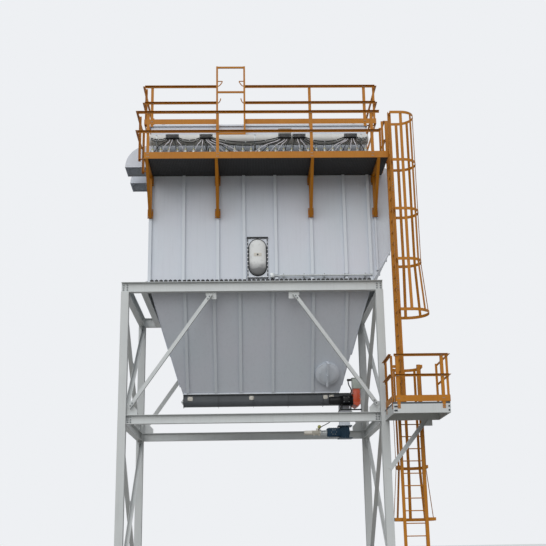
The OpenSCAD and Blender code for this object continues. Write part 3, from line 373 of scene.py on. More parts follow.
# The vent's panel: pale stainless steel with random dark patches of dirt, and painted shade that darkens its
# lower bulge
def panelWithShadeAndDirt(name, code, shadeAndDirt, low, high):
    material, tree, place = startMaterial(name, 0.42)
    cloud = addNoise(tree, place, 160, 4.0)
    wander = addMath(tree, "MULTIPLY", cloud, 0.25)
    level = addMath(tree, "ADD", addNode(tree, "SeparateXYZ", {"Vector": place}).outputs["Z"], wander)
    # painted shade: below the height low the panel turns towards the dark colour, as if its lower bulge were
    # in shade
    shadedLow = mixColours(tree, spread(tree, level, low, high, 0.9, 0), code, shadeAndDirt)
    paint(tree, blend(tree, cloud, 0.55, 0.75, 0.3, shadedLow, shadeAndDirt), addBump(tree, cloud, 0.12, 0.004))
    return material


# the dark colour is painted shade on the dome's lower part, below z 8.68 to 8.88, and also the colour of its
# dirty patches
domeEnamel = panelWithShadeAndDirt("domeEnamel", "#d9dbda", "#5a5b5d", 8.68, 8.88)


# Hot-dip galvanised steel: dull zinc with crystals that each turn the light a little differently
def galvanisedSteel(name, code, spangle):
    material, tree, place = startMaterial(name, 0.48, metallic=0.75)
    crystal = addNode(tree, "TexVoronoi", {"Vector": place, "Scale": perMetre(spangle)})
    tone = addNode(tree, "SeparateColor", {"Color": crystal.outputs["Color"]})
    dark = tuple(channel * 0.72 for channel in hexColour(code)[:3]) + (1,)
    paint(tree, mixColours(tree, tone.outputs["Red"], dark, code),
          addBump(tree, addNoise(tree, place, 200, 4.0), 0.1, 0.004),
          spread(tree, tone.outputs["Green"], 0, 1, 0.38, 0.6))
    return material


zincSteel = galvanisedSteel("zincSteel", "#c2c6c6", 18)
zincBolts = galvanisedSteel("zincBolts", "#8e9293", 9)
# dark zinc bolts; at the casing's foot their darkness is partly painted shadow of the gap between flange and
# beam
darkBolts = galvanisedSteel("darkBolts", "#45484b", 9)
valveAlloy = galvanisedSteel("valveAlloy", "#d9d4aa", 6)


# Welded bar grating: bearing bars 41 mm apart with cross rods 100 mm apart; the near-black between them is
# painted shade, standing for the shaded openings
def barGrating(name):
    material, tree, place = startMaterial(name, 0.7)
    axes = addNode(tree, "SeparateXYZ", {"Vector": place})
    lines = []
    for axis, pitch, low, high in (("X", 41, 0.55, 0.8), ("Y", 100, 0.9, 0.97)):
        turn = addMath(tree, "MULTIPLY", axes.outputs[axis], 2 * math.pi * perMetre(pitch))
        lines.append(spread(tree, addMath(tree, "COSINE", turn), low, high))
    steel = addMath(tree, "MAXIMUM", *lines)
    paint(tree, mixColours(tree, steel, "#060607", "#262625"), addBump(tree, steel, 0.6, 0.01))
    return material


gratingSteel = barGrating("gratingSteel")


# Moulded plastic and rubber sheathing, dusty in patches
def mouldedPlastic(name, code, roughness, dusty=0.35):
    material, tree, place = startMaterial(name, roughness, ior=1.46)
    paint(tree, blend(tree, addNoise(tree, place, 60, 4.0), 0.4, 0.75, dusty, code, "#6d6a64"),
          addBump(tree, addNoise(tree, place, 3), 0.1, 0.001))
    return material


boxPlastic = mouldedPlastic("boxPlastic", "#1d1e20", 0.5)
greyPlastic = mouldedPlastic("greyPlastic", "#b6bab7", 0.45)
tubeNylon = mouldedPlastic("tubeNylon", "#f3f1f8", 0.35)
whiteCaps = mouldedPlastic("whiteCaps", "#f0f1f3", 0.4)
capPlastic = mouldedPlastic("capPlastic", "#9a9a46", 0.4)
cableRubber = mouldedPlastic("cableRubber", "#17181a", 0.6)
wireBlack = mouldedPlastic("wireBlack", "#08080b", 0.6, 0.1)

finishes = {"frame_paint": frameEnamel, "casing_paint": casingEnamel, "safety_paint": safetyEnamel,
            "dark_paint": darkEnamel, "guard_paint": guardEnamel, "drive_paint": driveEnamel,
            "zinc": zincSteel}
ownFinishes = {"platform_deck": gratingSteel, "pulse_header": headerEnamel, "switch_box": boxEnamel,
               "rotary_airlock": driveEnamel}


def dressNodes():
    for part in frame["record"]["subparts"]:
        node = nodes[part["node"]]
        node.data.materials.clear()
        node.data.materials.append(ownFinishes.get(part["node"], finishes[part["material_slot"]]))


dressNodes()
print("materials made, frame dressed")


# Bolts: one hexagon head on its washer, copied to every place
boltForms = {
    "structural": {"across": 0.036, "head": 0.015, "washer": 0.022, "washerT": 0.004},
    "flange": {"across": 0.022, "head": 0.009, "washer": 0.015, "washerT": 0.003},
    "small": {"across": 0.016, "head": 0.007, "washer": 0.011, "washerT": 0.002},
}


def addBolt(form, shank=0.0):
    seatZ, head = form["washerT"], form["head"]
    parts = [addRound((0, 0, 0), (0, 0, seatZ), form["washer"], 14),
             addRound((0, 0, seatZ), (0, 0, head), form["across"] / 2 / math.cos(math.pi / 6), 6, 0.001)]
    if shank:
        parts.append(addRound((0, 0, seatZ), (0, 0, head + shank), form["across"] * 0.31, 10, 0.002))
    return join(parts)


def boltRow(name, places, form, slotName="zinc", material=None, shank=0.0):
    bolts = copyTo(addBolt(boltForms[form], shank), [seat(*place) for place in places])
    return finishPiece(bolts, name, slotName, material or zincBolts)


# The steel frame: splice bolts, gusset bolts, anchor bolts
steelwork = {"half": 0.1, "web": 0.004, "row": 0.06, "pair": 0.04875, "tie": (0.045, 0.11), "anchor": 0.155,
             "shank": 0.045, "braceReach": 1.08, "braceRise": 0.18, "braceInset": 0.06, "foot": 0.76,
             "boltPitch": 0.075, "boltFrom": 0.07}  # the last two along a brace, from its end
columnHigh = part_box("columns")[1]
topLow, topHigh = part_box("top_beams_front_rear")
lowLow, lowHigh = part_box("lower_beams_front_rear")
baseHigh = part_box("base_plates")[1]
columnHalf = steelwork["half"]
gridX = columnHigh.x - columnHalf
gridY = columnHigh.y - columnHalf
beamMid = (topLow.z + topHigh.z) / 2
lowMid = (lowLow.z + lowHigh.z) / 2


def frameBolts():
    row = steelwork["row"]
    places = []
    for side in ways:
        for face in ways:
            y = face * (gridY + steelwork["web"])
            places += spots(about(side * gridX, steelwork["pair"]), y,
                            [beamMid - row, beamMid, beamMid + row], (0, face, 0))
            places += spots([side * (gridX - columnHalf - inset) for inset in steelwork["tie"]], y,
                            [lowMid - row, lowMid, lowMid + row], (0, face, 0))
            places += spots(side * (gridX + columnHalf - 0.03), face * (gridY - columnHalf - 0.05),
                            about(lowMid, row), (side, 0, 0))
    boltRow("frame_splice_bolts", places, "structural")


def braceBolts(name, ends, toWorld, depth, out):
    places = []
    for start, end in ends:
        run = (end - start).normalized()
        for point, direction in ((start, run), (end, -run)):
            for step in (0, 1):
                on = point + direction * (steelwork["boltFrom"] + step * steelwork["boltPitch"])
                places.append((toWorld @ Vector((on.x, depth, on.y)), toWorld.to_3x3() @ Vector((0, out, 0))))
    boltRow(name, places, "structural")


def bracing():
    corner, half, inset = gridX - columnHalf, gridY - columnHalf, steelwork["braceInset"]
    under, rise = topLow.z, lowHigh.z
    for name, turn in (("front", 0), ("rear", math.pi)):
        toWorld = Matrix.Rotation(turn, 4, "Z") @ Matrix.Translation((0, -gridY, 0))
        ends = [(Vector((side * steelwork["braceReach"], under - inset)),
                 Vector((side * (corner - inset), rise + steelwork["braceRise"]))) for side in ways]
        braceBolts(name + "_brace_bolts", ends, toWorld, -0.009, -1)
    bays = ((steelwork["foot"], lowLow.z), (rise, under))
    for name, side in (("left", -1), ("right", 1)):
        toWorld = Matrix.Translation((side * gridX, 0, 0)) @ Matrix.Rotation(side * math.pi / 2, 4, "Z")
        for which, way, depth in (("near", 1, -0.009), ("far", -1, 0.019)):
            aside = way * (half - inset)
            ends = [(Vector((-aside, low + inset)), Vector((aside, high - inset))) for low, high in bays]
            braceBolts(f"{name}_{which}_brace_bolts", ends, toWorld, depth, -way)


frameBolts()
bracing()
boltRow("anchor_bolts", spots([side * gridX + x for side in ways for x in about(0, steelwork["anchor"])],
                              [side * gridY + y for side in ways for y in about(0, steelwork["anchor"])],
                              baseHigh.z, upZ), "structural", shank=steelwork["shank"])
print("steelwork bolted")


# Casing: a foot flange with its gasket, clips and bolts, and the vent's bolts
casing = {"ribReach": 0.075, "overhang": 0.04, "flangeT": 0.012, "flangeMid": 0.037, "flangePitch": 0.12,
          "endGap": 0.1, "shank": 0.066, "gasket": 0.004, "seal": 0.018, "clamp": (0.044, 0.0375, 0.06)}
roofLow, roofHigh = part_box("casing_roof")
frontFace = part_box("casing_front_wall")[0].y + casing["ribReach"]
rearFace = -frontFace
casingLeft = roofLow.x + casing["overhang"]
casingRight = roofHigh.x - casing["overhang"]
casingMid = (casingLeft + casingRight) / 2
casingWide = casingRight - casingLeft
flangeTop = topHigh.z + casing["flangeT"]


def addBorder(low, high, t):  # four strips round a rectangle, outside it
    strips = [addBlock((low[0] - t, y, low[2]), (high[0] + t, y + t, high[2]), 0.001)
              for y in (low[1] - t, high[1])]
    strips += [addBlock((x, low[1], low[2]), (x + t, high[1], high[2]), 0.001) for x in (low[0] - t, high[0])]
    return strips


def flangeBolts():
    out, gap, pitch = casing["flangeMid"], casing["endGap"], casing["flangePitch"]
    places = spots(spaced(casingLeft + gap, casingRight - gap, pitch), about(0, rearFace + out),
                   flangeTop, upZ)
    places += spots((casingLeft - out, casingRight + out), spaced(frontFace + gap, rearFace - gap, pitch),
                    flangeTop, upZ)
    # the flange's bolts, gasket strips and clamps are dark or near-black: real parts, and also painted shadow
    # of the gap between the casing's flange and the beam
    boltRow("casing_flange_bolts", places, "structural", material=darkBolts, shank=casing["shank"])
    strips = addBorder((casingLeft - out * 2, frontFace - out * 2, topHigh.z - 0.006),
                       (casingRight + out * 2, rearFace + out * 2, topHigh.z + 0.001 + casing["seal"]),
                       casing["gasket"])
    finishPiece(strips, "flange_gasket", "dark_paint", wireBlack)
    half, deep, tall = casing["clamp"]
    clamp = addBlock((-half, -deep, -0.011), (half, deep, tall), 0.003, 2)
    finishPiece(copyTo(clamp, [seat(*place) for place in places]), "flange_clamps", "dark_paint", wireBlack)


vent = {"boltIn": 0.016, "pitch": 0.105}
ventLow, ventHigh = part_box("vent_frame")


def ventBolts():
    inset, face = vent["boltIn"], ventLow.y - 0.002
    xs = spaced(ventLow.x + inset, ventHigh.x - inset, vent["pitch"])
    zs = spaced(ventLow.z + inset, ventHigh.z - inset, vent["pitch"])
    places = spots(xs, face, [zs[0], zs[-1]], -upY) + spots([xs[0], xs[-1]], face, zs[1:-1], -upY)
    boltRow("vent_bolts", places, "flange", material=whiteCaps)


# The ribs are T bars: a flat cap along each one, wider than its web, and an angle under the deck
ribs = {"front": (0.005, 0.155, 0.309, 0.427, 0.57, 0.731, 0.883, 0.994), "bracketed": (0, 2, 5),
        "half": 0.041, "t": 0.005, "depth": 0.06, "angle": 0.05}


def ribCaps():
    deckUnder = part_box("platform_frame")[0].z
    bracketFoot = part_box("platform_brackets")[0].z
    conduitLow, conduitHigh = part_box("front_conduit")
    half, out, t = ribs["half"], ribs["depth"], ribs["t"]
    caps = []
    for index, share in enumerate(ribs["front"]):
        x = casingMid + (share - 0.5) * casingWide
        rear = 2 * casingMid - x
        top = bracketFoot - 0.004 if index in ribs["bracketed"] else deckUnder - 0.002
        spans = [(flangeTop, top)]
        if conduitLow.x - 0.15 < x < conduitHigh.x + 0.05:
            spans = [(flangeTop, conduitLow.z - 0.02), (conduitHigh.z + 0.02, top)]
        caps += [addBlock((x - half, frontFace - out - t, low), (x + half, frontFace - out, high), 0.001)
                 for low, high in spans]
        caps.append(addBlock((rear - half, rearFace + out, flangeTop),
                             (rear + half, rearFace + out + t, roofLow.z - 0.04), 0.001))
    # the angle under the deck is in the paler enamel: a painted highlight for the strip lit through the gap
    # between deck and wall
    caps.append(addBlock((casingLeft, frontFace - 0.012, deckUnder - ribs["angle"]),
                         (casingRight, frontFace, deckUnder - 0.001), 0.001))
    finishPiece(caps, "rib_caps", "casing_paint", cleanHighlightEnamel)


flangeBolts()
ventBolts()
ribCaps()
print("casing bolted")


# The filter's own measures, read from the frame
deckLow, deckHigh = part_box("platform_frame")
headerLow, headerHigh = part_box("pulse_header")
landingLow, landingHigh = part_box("landing_deck")
deckTop = deckLow.z + 0.032  # the deck lies sunk in its edge plates
landingTop = landingHigh.z
roofTop = roofHigh.z


# Guard rails: two bolts where a bar crosses a post, two in the toe board, two in each post's foot
rails = {"midShare": 0.575, "apart": 0.02, "barMid": 0.034, "barT": 0.006, "toeMid": 0.085, "post": 0.06,
         "deckPosts": (0.015, 0.3, 0.687, 0.938), "landingPost": 0.075, "landingGap": 0.26}
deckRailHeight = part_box("platform_rail_front")[1].z - deckTop
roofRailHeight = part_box("roof_rail_front")[1].z - roofTop


def railRun(origin, along, out, posts, height, foot=(), toe=True):
    places = []
    for post in posts:
        base = Vector(origin) + along * post
        levels = [base + upZ * (height * share - rails["barMid"]) + out * rails["barT"]
                  for share in (1, rails["midShare"])]
        if toe:
            levels.append(base + upZ * rails["toeMid"] + out * rails["barT"])
        levels += [base + upZ * drop for drop in foot]
        places += [(level + along * step, out) for level in levels for step in about(0, rails["apart"])]
    return places


def platformRailBolts():
    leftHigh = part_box("platform_rail_left")[1]
    rightLow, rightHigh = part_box("platform_rail_right")
    t, post, foot = rails["barT"], rails["post"], (0.02, 0.1)
    length, run = deckHigh.x - deckLow.x, rightHigh.y - rightLow.y
    places = []
    for x, y, along, out, posts, drops in (
            (deckLow.x, deckLow.y - t, upX, -upY, [share * length for share in rails["deckPosts"]], foot),
            (deckLow.x - 0.17, leftHigh.y, -upY, -upX, (post, 0.92), ()),
            (deckHigh.x + t, rightLow.y, upY, upX, (post, run - post), foot)):
        places += railRun((x, y, deckTop), along, out, posts, deckRailHeight, drops, toe=False)
    boltRow("platform_rail_bolts", places, "small")


def roofRailBolts():
    post = rails["post"]
    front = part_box("roof_rail_front")[1].y - post
    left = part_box("roof_rail_left")[0].x + post
    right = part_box("roof_rail_right")[1].x - post
    length, side = roofHigh.x - roofLow.x, -front * 2
    sidePosts = (post * 2, side / 2, side - post * 2)
    places = []
    for x, y, along, out, posts in (
            (roofLow.x, front, upX, -upY, (post, 0.737 * length, length - post)),
            (roofHigh.x, -front, -upX, upY, (post, length / 2, length - post)),
            (left, -front, -upY, -upX, sidePosts), (right, front, upY, upX, sidePosts)):
        places += railRun((x, y, roofTop), along, out, posts, roofRailHeight)
    boltRow("roof_rail_bolts", places, "small")


def landingRailBolts():
    t, post, gap = rails["barT"], rails["landingPost"], rails["landingGap"]
    width, depth = landingHigh.x - landingLow.x, landingHigh.y - landingLow.y
    places = []
    for x, y, along, out, last in (
            (landingLow.x + rails["post"], landingLow.y - t, upX, -upY, width - rails["post"] - post * 2),
            (landingLow.x - t, landingHigh.y - gap, -upY, -upX, depth - gap - post * 2),
            (landingHigh.x + t, landingLow.y, upY, upX, depth - post)):
        places += railRun((x, y, landingTop), along, out, (post, last), roofRailHeight, (-0.075, -0.125))
    boltRow("landing_rail_bolts", places, "small")


# Rail ends at the roof ladder are rolled back, so that nobody catches on them
curl = {"radius": 0.014, "reach": 0.14, "rise": 0.15}


def curledEnds():
    ladderLow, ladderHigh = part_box("roof_ladder")
    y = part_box("roof_rail_front")[0].y + 0.03
    hooks = {1: ((0, -0.02), (0.35, 0.0), (0.85, 0.65), (1, 0.97), (0.9, 1), (0.4, 1), (0, 1)),
             rails["midShare"]: ((0, -0.25), (0.3, -0.05), (0.6, 0.4), (0.65, 0.8))}
    pieces = []
    for share, hook in hooks.items():
        z = roofTop + roofRailHeight * share - 0.02
        for x, way in ((ladderLow.x + 0.03, 1), (ladderHigh.x - 0.03, -1)):
            pieces.append(addTube([(x + way * curl["reach"] * across, y, z + curl["rise"] * up)
                                   for across, up in hook], curl["radius"]))
    finishPiece(pieces, "roof_rail_curls", "safety_paint")


platformRailBolts()
roofRailBolts()
landingRailBolts()
curledEnds()
print("guard rails bolted")


# Pulse valves: bonnet ring with its screws, a black pilot in the middle, union nuts on both pipes
pulse = {"count": 27, "inset": 0.05, "drop": 0.338, "body": 0.062, "rim": 0.055, "radius": 0.145,
         "fromWall": 0.29}
headerMid = Vector(((headerLow.x + headerHigh.x) / 2, frontFace - pulse["fromWall"],
                    headerHigh.z - pulse["radius"]))
valvePitch = (headerHigh.x - headerLow.x - 2 * pulse["inset"]) / (pulse["count"] - 1)
valveXs = [headerLow.x + pulse["inset"] + step * valvePitch for step in range(pulse["count"])]
valveZ = headerMid.z - pulse["drop"]


def pulseValves():
    places = [Matrix.Translation((x, headerMid.y, valveZ)) for x in valveXs]
    body = pulse["body"] + 0.006
    bonnet = [addTurned([(0.054, -0.047), (body, -0.047), (body, -0.031), (0.05, -0.029)], 28),
              addTurned([(0.05, -0.0665), (0.046, -0.078), (0.034, -0.086), (0.018, -0.089)], 24),
              addRound((0, 0, 0.05), (0, 0, 0.035), 0.036, 6, 0.002),
              addRound((0, 0, 0.03), (0, 0, 0.02), 0.031, 20, 0.002),
              addRound((0, 0.085, 0), (0, 0.035, 0), 0.036, 6, 0.002),
              addRound((0, 0.06, 0), (0, 0.025, 0), 0.031, 20, 0.002)]
    finishPiece(copyTo(join(bonnet), places), "valve_bonnets", "zinc", valveAlloy)
    screws = [addRound((pulse["rim"] * x, pulse["rim"] * y, -0.055), (0, 0, 0.009), 0.006, 6)
              for x, y in turns(6, 30)]
    finishPiece(copyTo(join(screws), places), "valve_screws", "zinc", zincBolts)
    pilot = [addRound((0, 0, -0.086), (0, 0, -0.034), 0.021, 16, 0.003),
             addRound((0, -0.018, -0.105), (0, -0.022, 0), 0.008, 10)]
    finishPiece(copyTo(join(pilot), places), "valve_pilots", "dark_paint", boxPlastic)


# Header: end caps with a weld bead, seams, bosses over the valves, straps over the wall brackets
def headerFittings():
    y, z, radius = headerMid.y, headerMid.z, pulse["radius"]
    cap = addTurned([(radius + 0.004, -0.05), (radius + 0.004, 0.0), (radius * 0.93, 0.02),
                     (radius * 0.7, 0.036), (radius * 0.35, 0.045), (0.02, 0.047)], 48)
    pieces = copyTo(cap, [seat((headerLow.x, y, z), -upX), seat((headerHigh.x, y, z), upX)])
    for step in range(1, 6):
        x = headerLow.x + (headerHigh.x - headerLow.x) * step / 6
        pieces.append(addRound((x - 0.004, y, z), (0.008, 0, 0), radius + 0.003, 48, 0.002))
    boss = addRound((0, 0, -radius - 0.014), (0, 0, 0.034), 0.034, 20, 0.003)
    pieces += copyTo(boss, [Matrix.Translation((x, y, z)) for x in valveXs])
    finishPiece(pieces, "header_caps", "casing_paint", headerEnamel)
    straps = []
    for share in (0, 0.25, 0.5, 0.75, 1):
        x = valveXs[0] + (math.floor(share * (pulse["count"] - 2)) + 0.5) * valvePitch
        straps.append(addRound((x - 0.02, y, z), (0.04, 0, 0), radius + 0.006, 48, 0.001))
        straps += [addRound((x, side, z - 0.16), (0, 0, 0.16), 0.008, 10)
                   for side in about(y, radius + 0.002)]
    finishPiece(straps, "header_straps", "zinc")


# Pilot valve boxes: a deep lid with a lip and four screws, glands underneath for the pilot tubes
boxes = {"places": (-2.1, -1.2, 0.905, 1.285, 2.67), "tall": 2, "wide": 0.17, "depth": 0.12, "half": 0.05,
         "high": 0.19, "gap": 0.03, "lip": 0.004, "tube": 0.0095}
boxBack = headerMid.y - pulse["radius"] - boxes["gap"]


def pilotBoxes():
    dark, grey, screws = [], [], []
    half, wide, lip, z = boxes["half"], boxes["wide"], boxes["lip"], headerMid.z
    front = boxBack - boxes["depth"]
    for index, x in enumerate(boxes["places"]):
        shell = (Vector((x - wide, front, z - half)), Vector((x + wide, boxBack, z + half)))
        if index == boxes["tall"]:
            raised = (faceOf(shell, 2, True)[0], shell[1] + upZ * (boxes["high"] - half))
            grey = [addOn(raised, (0, 0, 0.006), (0, 0, 0), 0.007, 3),
                    addOn(faceOf(raised, 2, True), (-0.008, -0.012, -0.004), (0.008, 0, 0.006), 0.003)]
        dark += [addOn(shell, (0, 0.02, 0), (0, 0, 0), 0.006, 2),
                 addOn(faceOf(shell, 1), (-lip, 0, -lip), (lip, 0.026, lip), 0.007, 3),
                 addBlock((x - 0.03, boxBack - 0.002, z - 0.012),
                          (x + 0.03, boxBack + boxes["gap"], z + 0.012), 0.001)]
        screws += spots(about(x, wide - 0.02), front, about(z, half - 0.018), -upY)
    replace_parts(finishPiece(dark, "pilot_boxes", "dark_paint", boxPlastic), "solenoid_boxes")
    finishPiece(grey, "tall_pilot_box", "dark_paint", greyPlastic)
    boltRow("pilot_box_screws", screws, "small")


def pilotTubes():
    pale, black, glands = [], [], []
    byBox = {}
    for x in valveXs:
        nearest = min(range(len(boxes["places"])), key=lambda index: abs(boxes["places"][index] - x))
        byBox.setdefault(nearest, []).append(x)
    y, top = boxBack - 0.055, headerMid.z - boxes["half"]
    for index, xs in byBox.items():
        for order, x in enumerate(xs):
            step = (boxes["wide"] * 2 - 0.04) / len(xs)
            start = boxes["places"][index] + (order + 0.5 - len(xs) / 2) * step
            glands.append(addRound((start, y, top - 0.022), (0, 0, 0.022), 0.012, 6, 0.001))
            sag = random.uniform(-0.03, 0.03)
            lean = (x - start) * 0.5
            points = [(start, y, top - 0.015), (start + lean * 0.1, y - 0.01, top - 0.09),
                      (start + lean, y - 0.02 + sag, (top + valveZ) / 2 - 0.03 + sag),
                      (x - lean * 0.2, y + 0.06, valveZ - 0.09 + sag), (x, headerMid.y - 0.1, valveZ - 0.125),
                      (x, headerMid.y - 0.035, valveZ - 0.105)]
            (pale if (order + index) % 3 else black).append(addTube(points, boxes["tube"]))
    finishPiece(pale, "pilot_tubes", "dark_paint", tubeNylon, 60)
    finishPiece(black, "pilot_tubes_black", "dark_paint", wireBlack, 60)
    finishPiece(glands, "pilot_glands", "dark_paint", boxPlastic)


# The control cable hangs in swags from clips on the header, from box to box
swag = {"cable": 0.015, "thinner": 0.003, "lower": 0.045, "clip": 0.016, "sag": 0.13, "sagShare": 0.12}


def hang(share):  # how far a swag hangs at a share of its span
    return 4 * share * (1 - share)


def controlCable():
    cables, clips = [], []
    y, top, half = boxBack - 0.03, headerMid.z - 0.02, swag["clip"] / 2
    stops = [headerLow.x + 0.02, *boxes["places"], headerHigh.x - 0.02]
    for index, (left, right) in enumerate(zip(stops, stops[1:])):
        start = left + (boxes["wide"] if index else 0)
        span = right - (boxes["wide"] if index < len(stops) - 2 else 0) - start
        if span < 0.1:
            continue
        sag = min(swag["sag"], span * swag["sagShare"])
        for strand in (0, 1):
            points = [(start + span * share, y - 0.012 * strand,
                       top - swag["lower"] * strand - sag * hang(share) * (1 + 0.5 * strand))
                      for share in (0, 0.08, 0.2, 0.35, 0.5, 0.65, 0.8, 0.92, 1)]
            cables.append(addTube(points, swag["cable"] - swag["thinner"] * strand))
        for share in (0.2, 0.5, 0.8):
            x, z = start + span * share, top - sag * hang(share)
            clips += [addBlock((x - half, y - 0.014, z - 0.018),
                               (x + half, headerMid.y - pulse["radius"] * 0.8, z - 0.012), 0.001),
                      addRound((x - 0.012, y, z), (0.024, 0, 0), 0.017, 14, 0.001)]
    finishPiece(cables, "control_cable", "dark_paint", wireBlack, 60)
    finishPiece(clips, "cable_clips", "zinc")


pulseValves()
headerFittings()
pilotBoxes()
pilotTubes()
controlCable()
print("pulse gear dressed")


# Platform: the brackets' plates on the wall with their bolts, and the bolts of the ladder's plate
platform = {"brackets": (0.005, 0.309, 0.731), "pastWall": 0.135, "wallPlate": 0.008, "plateHalf": 0.075,
            "boltOut": 0.056, "boltIn": 0.04, "ladderPlate": 0.012}
upperLow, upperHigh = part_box("upper_ladder")
lowerLow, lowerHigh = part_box("lower_ladder")


def platformFittings():
    bracketLow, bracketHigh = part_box("platform_brackets")
    wall, inset = bracketHigh.y, platform["boltIn"]
    face = wall - platform["wallPlate"]
    plates, places = [], []
    xs = [casingLeft + share * casingWide for share in platform["brackets"]]
    for x in (*xs, casingRight + platform["pastWall"]):
        left, right = about(x, platform["plateHalf"])
        for low, high in ((deckLow.z - 0.3, deckLow.z - 0.02), (bracketLow.z, bracketLow.z + 0.26)):
            plates.append(addBlock((left, face, low), (right, wall, high), 0.001))
            places += spots(about(x, platform["boltOut"]), face, (low + inset, high - inset), -upY)
    finishPiece(plates, "bracket_plates", "safety_paint")
    boltRow("bracket_bolts", places, "flange")
    places = spots(deckHigh.x + platform["ladderPlate"], (upperLow.y + 0.03, upperHigh.y - 0.03),
                   about(deckLow.z + 0.09, 0.04), upX)
    boltRow("ladder_plate_bolts", places, "flange")


# Cage bolts: one where each strap crosses a hoop
cages = {"radius": 0.385, "depth": 0.66, "strap": 0.075, "flare": 0.12, "wall": 0.045}


def cageBolts(name, node, toWorld, hoops):
    low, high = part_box(node)
    pitch = (high.z - low.z - cages["strap"]) / (hoops - 1)
    places = []
    for step in range(hoops):
        reach = cages["radius"] + (cages["flare"] if step == 0 else 0)
        centre = Vector((0, cages["depth"] - cages["radius"], low.z + step * pitch + cages["strap"] / 2))
        for angle in (0, 45, 90, 135, 180):
            turn = math.radians(angle)
            out = Vector((math.cos(turn), math.sin(turn), 0))
            places.append((toWorld @ (out * reach + centre), toWorld.to_3x3() @ out))
    boltRow(name, places, "small")


platformFittings()
cageBolts("upper_cage_bolts", "upper_cage",
          Matrix.Translation((upperHigh.x - cages["wall"], (upperLow.y + upperHigh.y) / 2, 0))
          @ Matrix.Rotation(-math.pi / 2, 4, "Z"), 5)
cageBolts("lower_cage_bolts", "lower_cage",
          Matrix.Translation(((lowerLow.x + lowerHigh.x) / 2, (lowerLow.y + lowerHigh.y) / 2, 0)), 4)


# Ladders: splice plates on the outer sides of the stringers, each with four bolts
splice = {"upper": (7.6, 10.2), "lower": (3.05,), "out": 0.245, "t": 0.008, "length": 0.3, "middle": 0.0475,
          "half": 0.0325, "boltIn": 0.047, "bolts": (0.04, 0.11, 0.19, 0.26)}


def ladderSplices():
    plates, places = [], []
    t, length = splice["t"], splice["length"]
    upperCorner = Vector((upperHigh.x, (upperLow.y + upperHigh.y) / 2, 0))
    lowerCorner = Vector(((lowerLow.x + lowerHigh.x) / 2, lowerLow.y, 0))
    for levels, corner, across, deep in ((splice["upper"], upperCorner, upY, -upX),
                                         (splice["lower"], lowerCorner, upX, upY)):
        half = [abs(reach) for reach in across * (t / 2) + deep * splice["half"] + upZ * (length / 2)]
        for level in levels:
            for side in ways:
                start = corner + across * (side * splice["out"]) + upZ * level
                middle = start + across * (side * t / 2) + deep * splice["middle"] + upZ * (length / 2)
                plates.append(addBar(middle, half, 0.001))
                face = start + across * (side * t) + deep * splice["boltIn"]
                places += [(face + upZ * z, across * side) for z in splice["bolts"]]
    finishPiece(plates, "ladder_splices", "safety_paint")
    boltRow("ladder_splice_bolts", places, "small")


ladderSplices()
print("ladders bolted")


# Landing: the sheet under its grating, cross bearers, and the bolts of its channel
landing = {"channel": 0.215, "sheet": 0.003, "inset": 0.012, "front": 0.065, "bearers": (0.36, 0.68),
           "half": 0.03, "t": 0.006, "deep": 0.09}


def landingFittings():
    top, face, inset, t = landingLow.z, landingLow.y, landing["inset"], landing["t"]
    under = top - landing["sheet"]
    left, right = landingLow.x + inset, landingHigh.x - inset
    pieces = [addBlock((left, face + landing["front"], under), (right, landingHigh.y - inset, top), 0)]
    for share in landing["bearers"]:
        front, rear = about(face + share * (landingHigh.y - face), landing["half"])
        pieces += [addBlock((left, front, top - landing["deep"]), (right, front + t, under), 0.001),
                   addBlock((left, front, under - t), (right, rear, under), 0.001)]
    finishPiece(pieces, "landing_underside", "frame_paint")
    low = top - landing["channel"]
    levels = (low + 0.06, low + 0.155)
    places = spots((landingLow.x + 0.035, landingLow.x + 0.075, landingHigh.x - 0.035), face, levels, -upY)
    places += spots(landingHigh.x, (landingHigh.y - 0.05, landingHigh.y - 0.12), levels, upX)
    boltRow("landing_channel_bolts", places, "structural", material=darkBolts)


landingFittings()
print("landing dressed")


# Hopper: manhole lid with its strap, screw and handle, on the sloping front plate
manhole = {"x": 2.009, "rise": 0.62, "radius": 0.3, "neck": 0.102}
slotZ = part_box("conveyor_trough")[1].z
hopperHeight = topHigh.z - slotZ
slope = math.atan2(hopperHeight, (rearFace - frontFace - 0.3) / 2)
slopeDown = Vector((0, math.cos(slope), -math.sin(slope)))
slopeOut = Vector((0, -math.sin(slope), -math.cos(slope)))
plateLength = hopperHeight / math.sin(slope)


def onHopper(x, down, out=0.0):
    return Vector((x, frontFace, topHigh.z)) + slopeDown * down + slopeOut * out


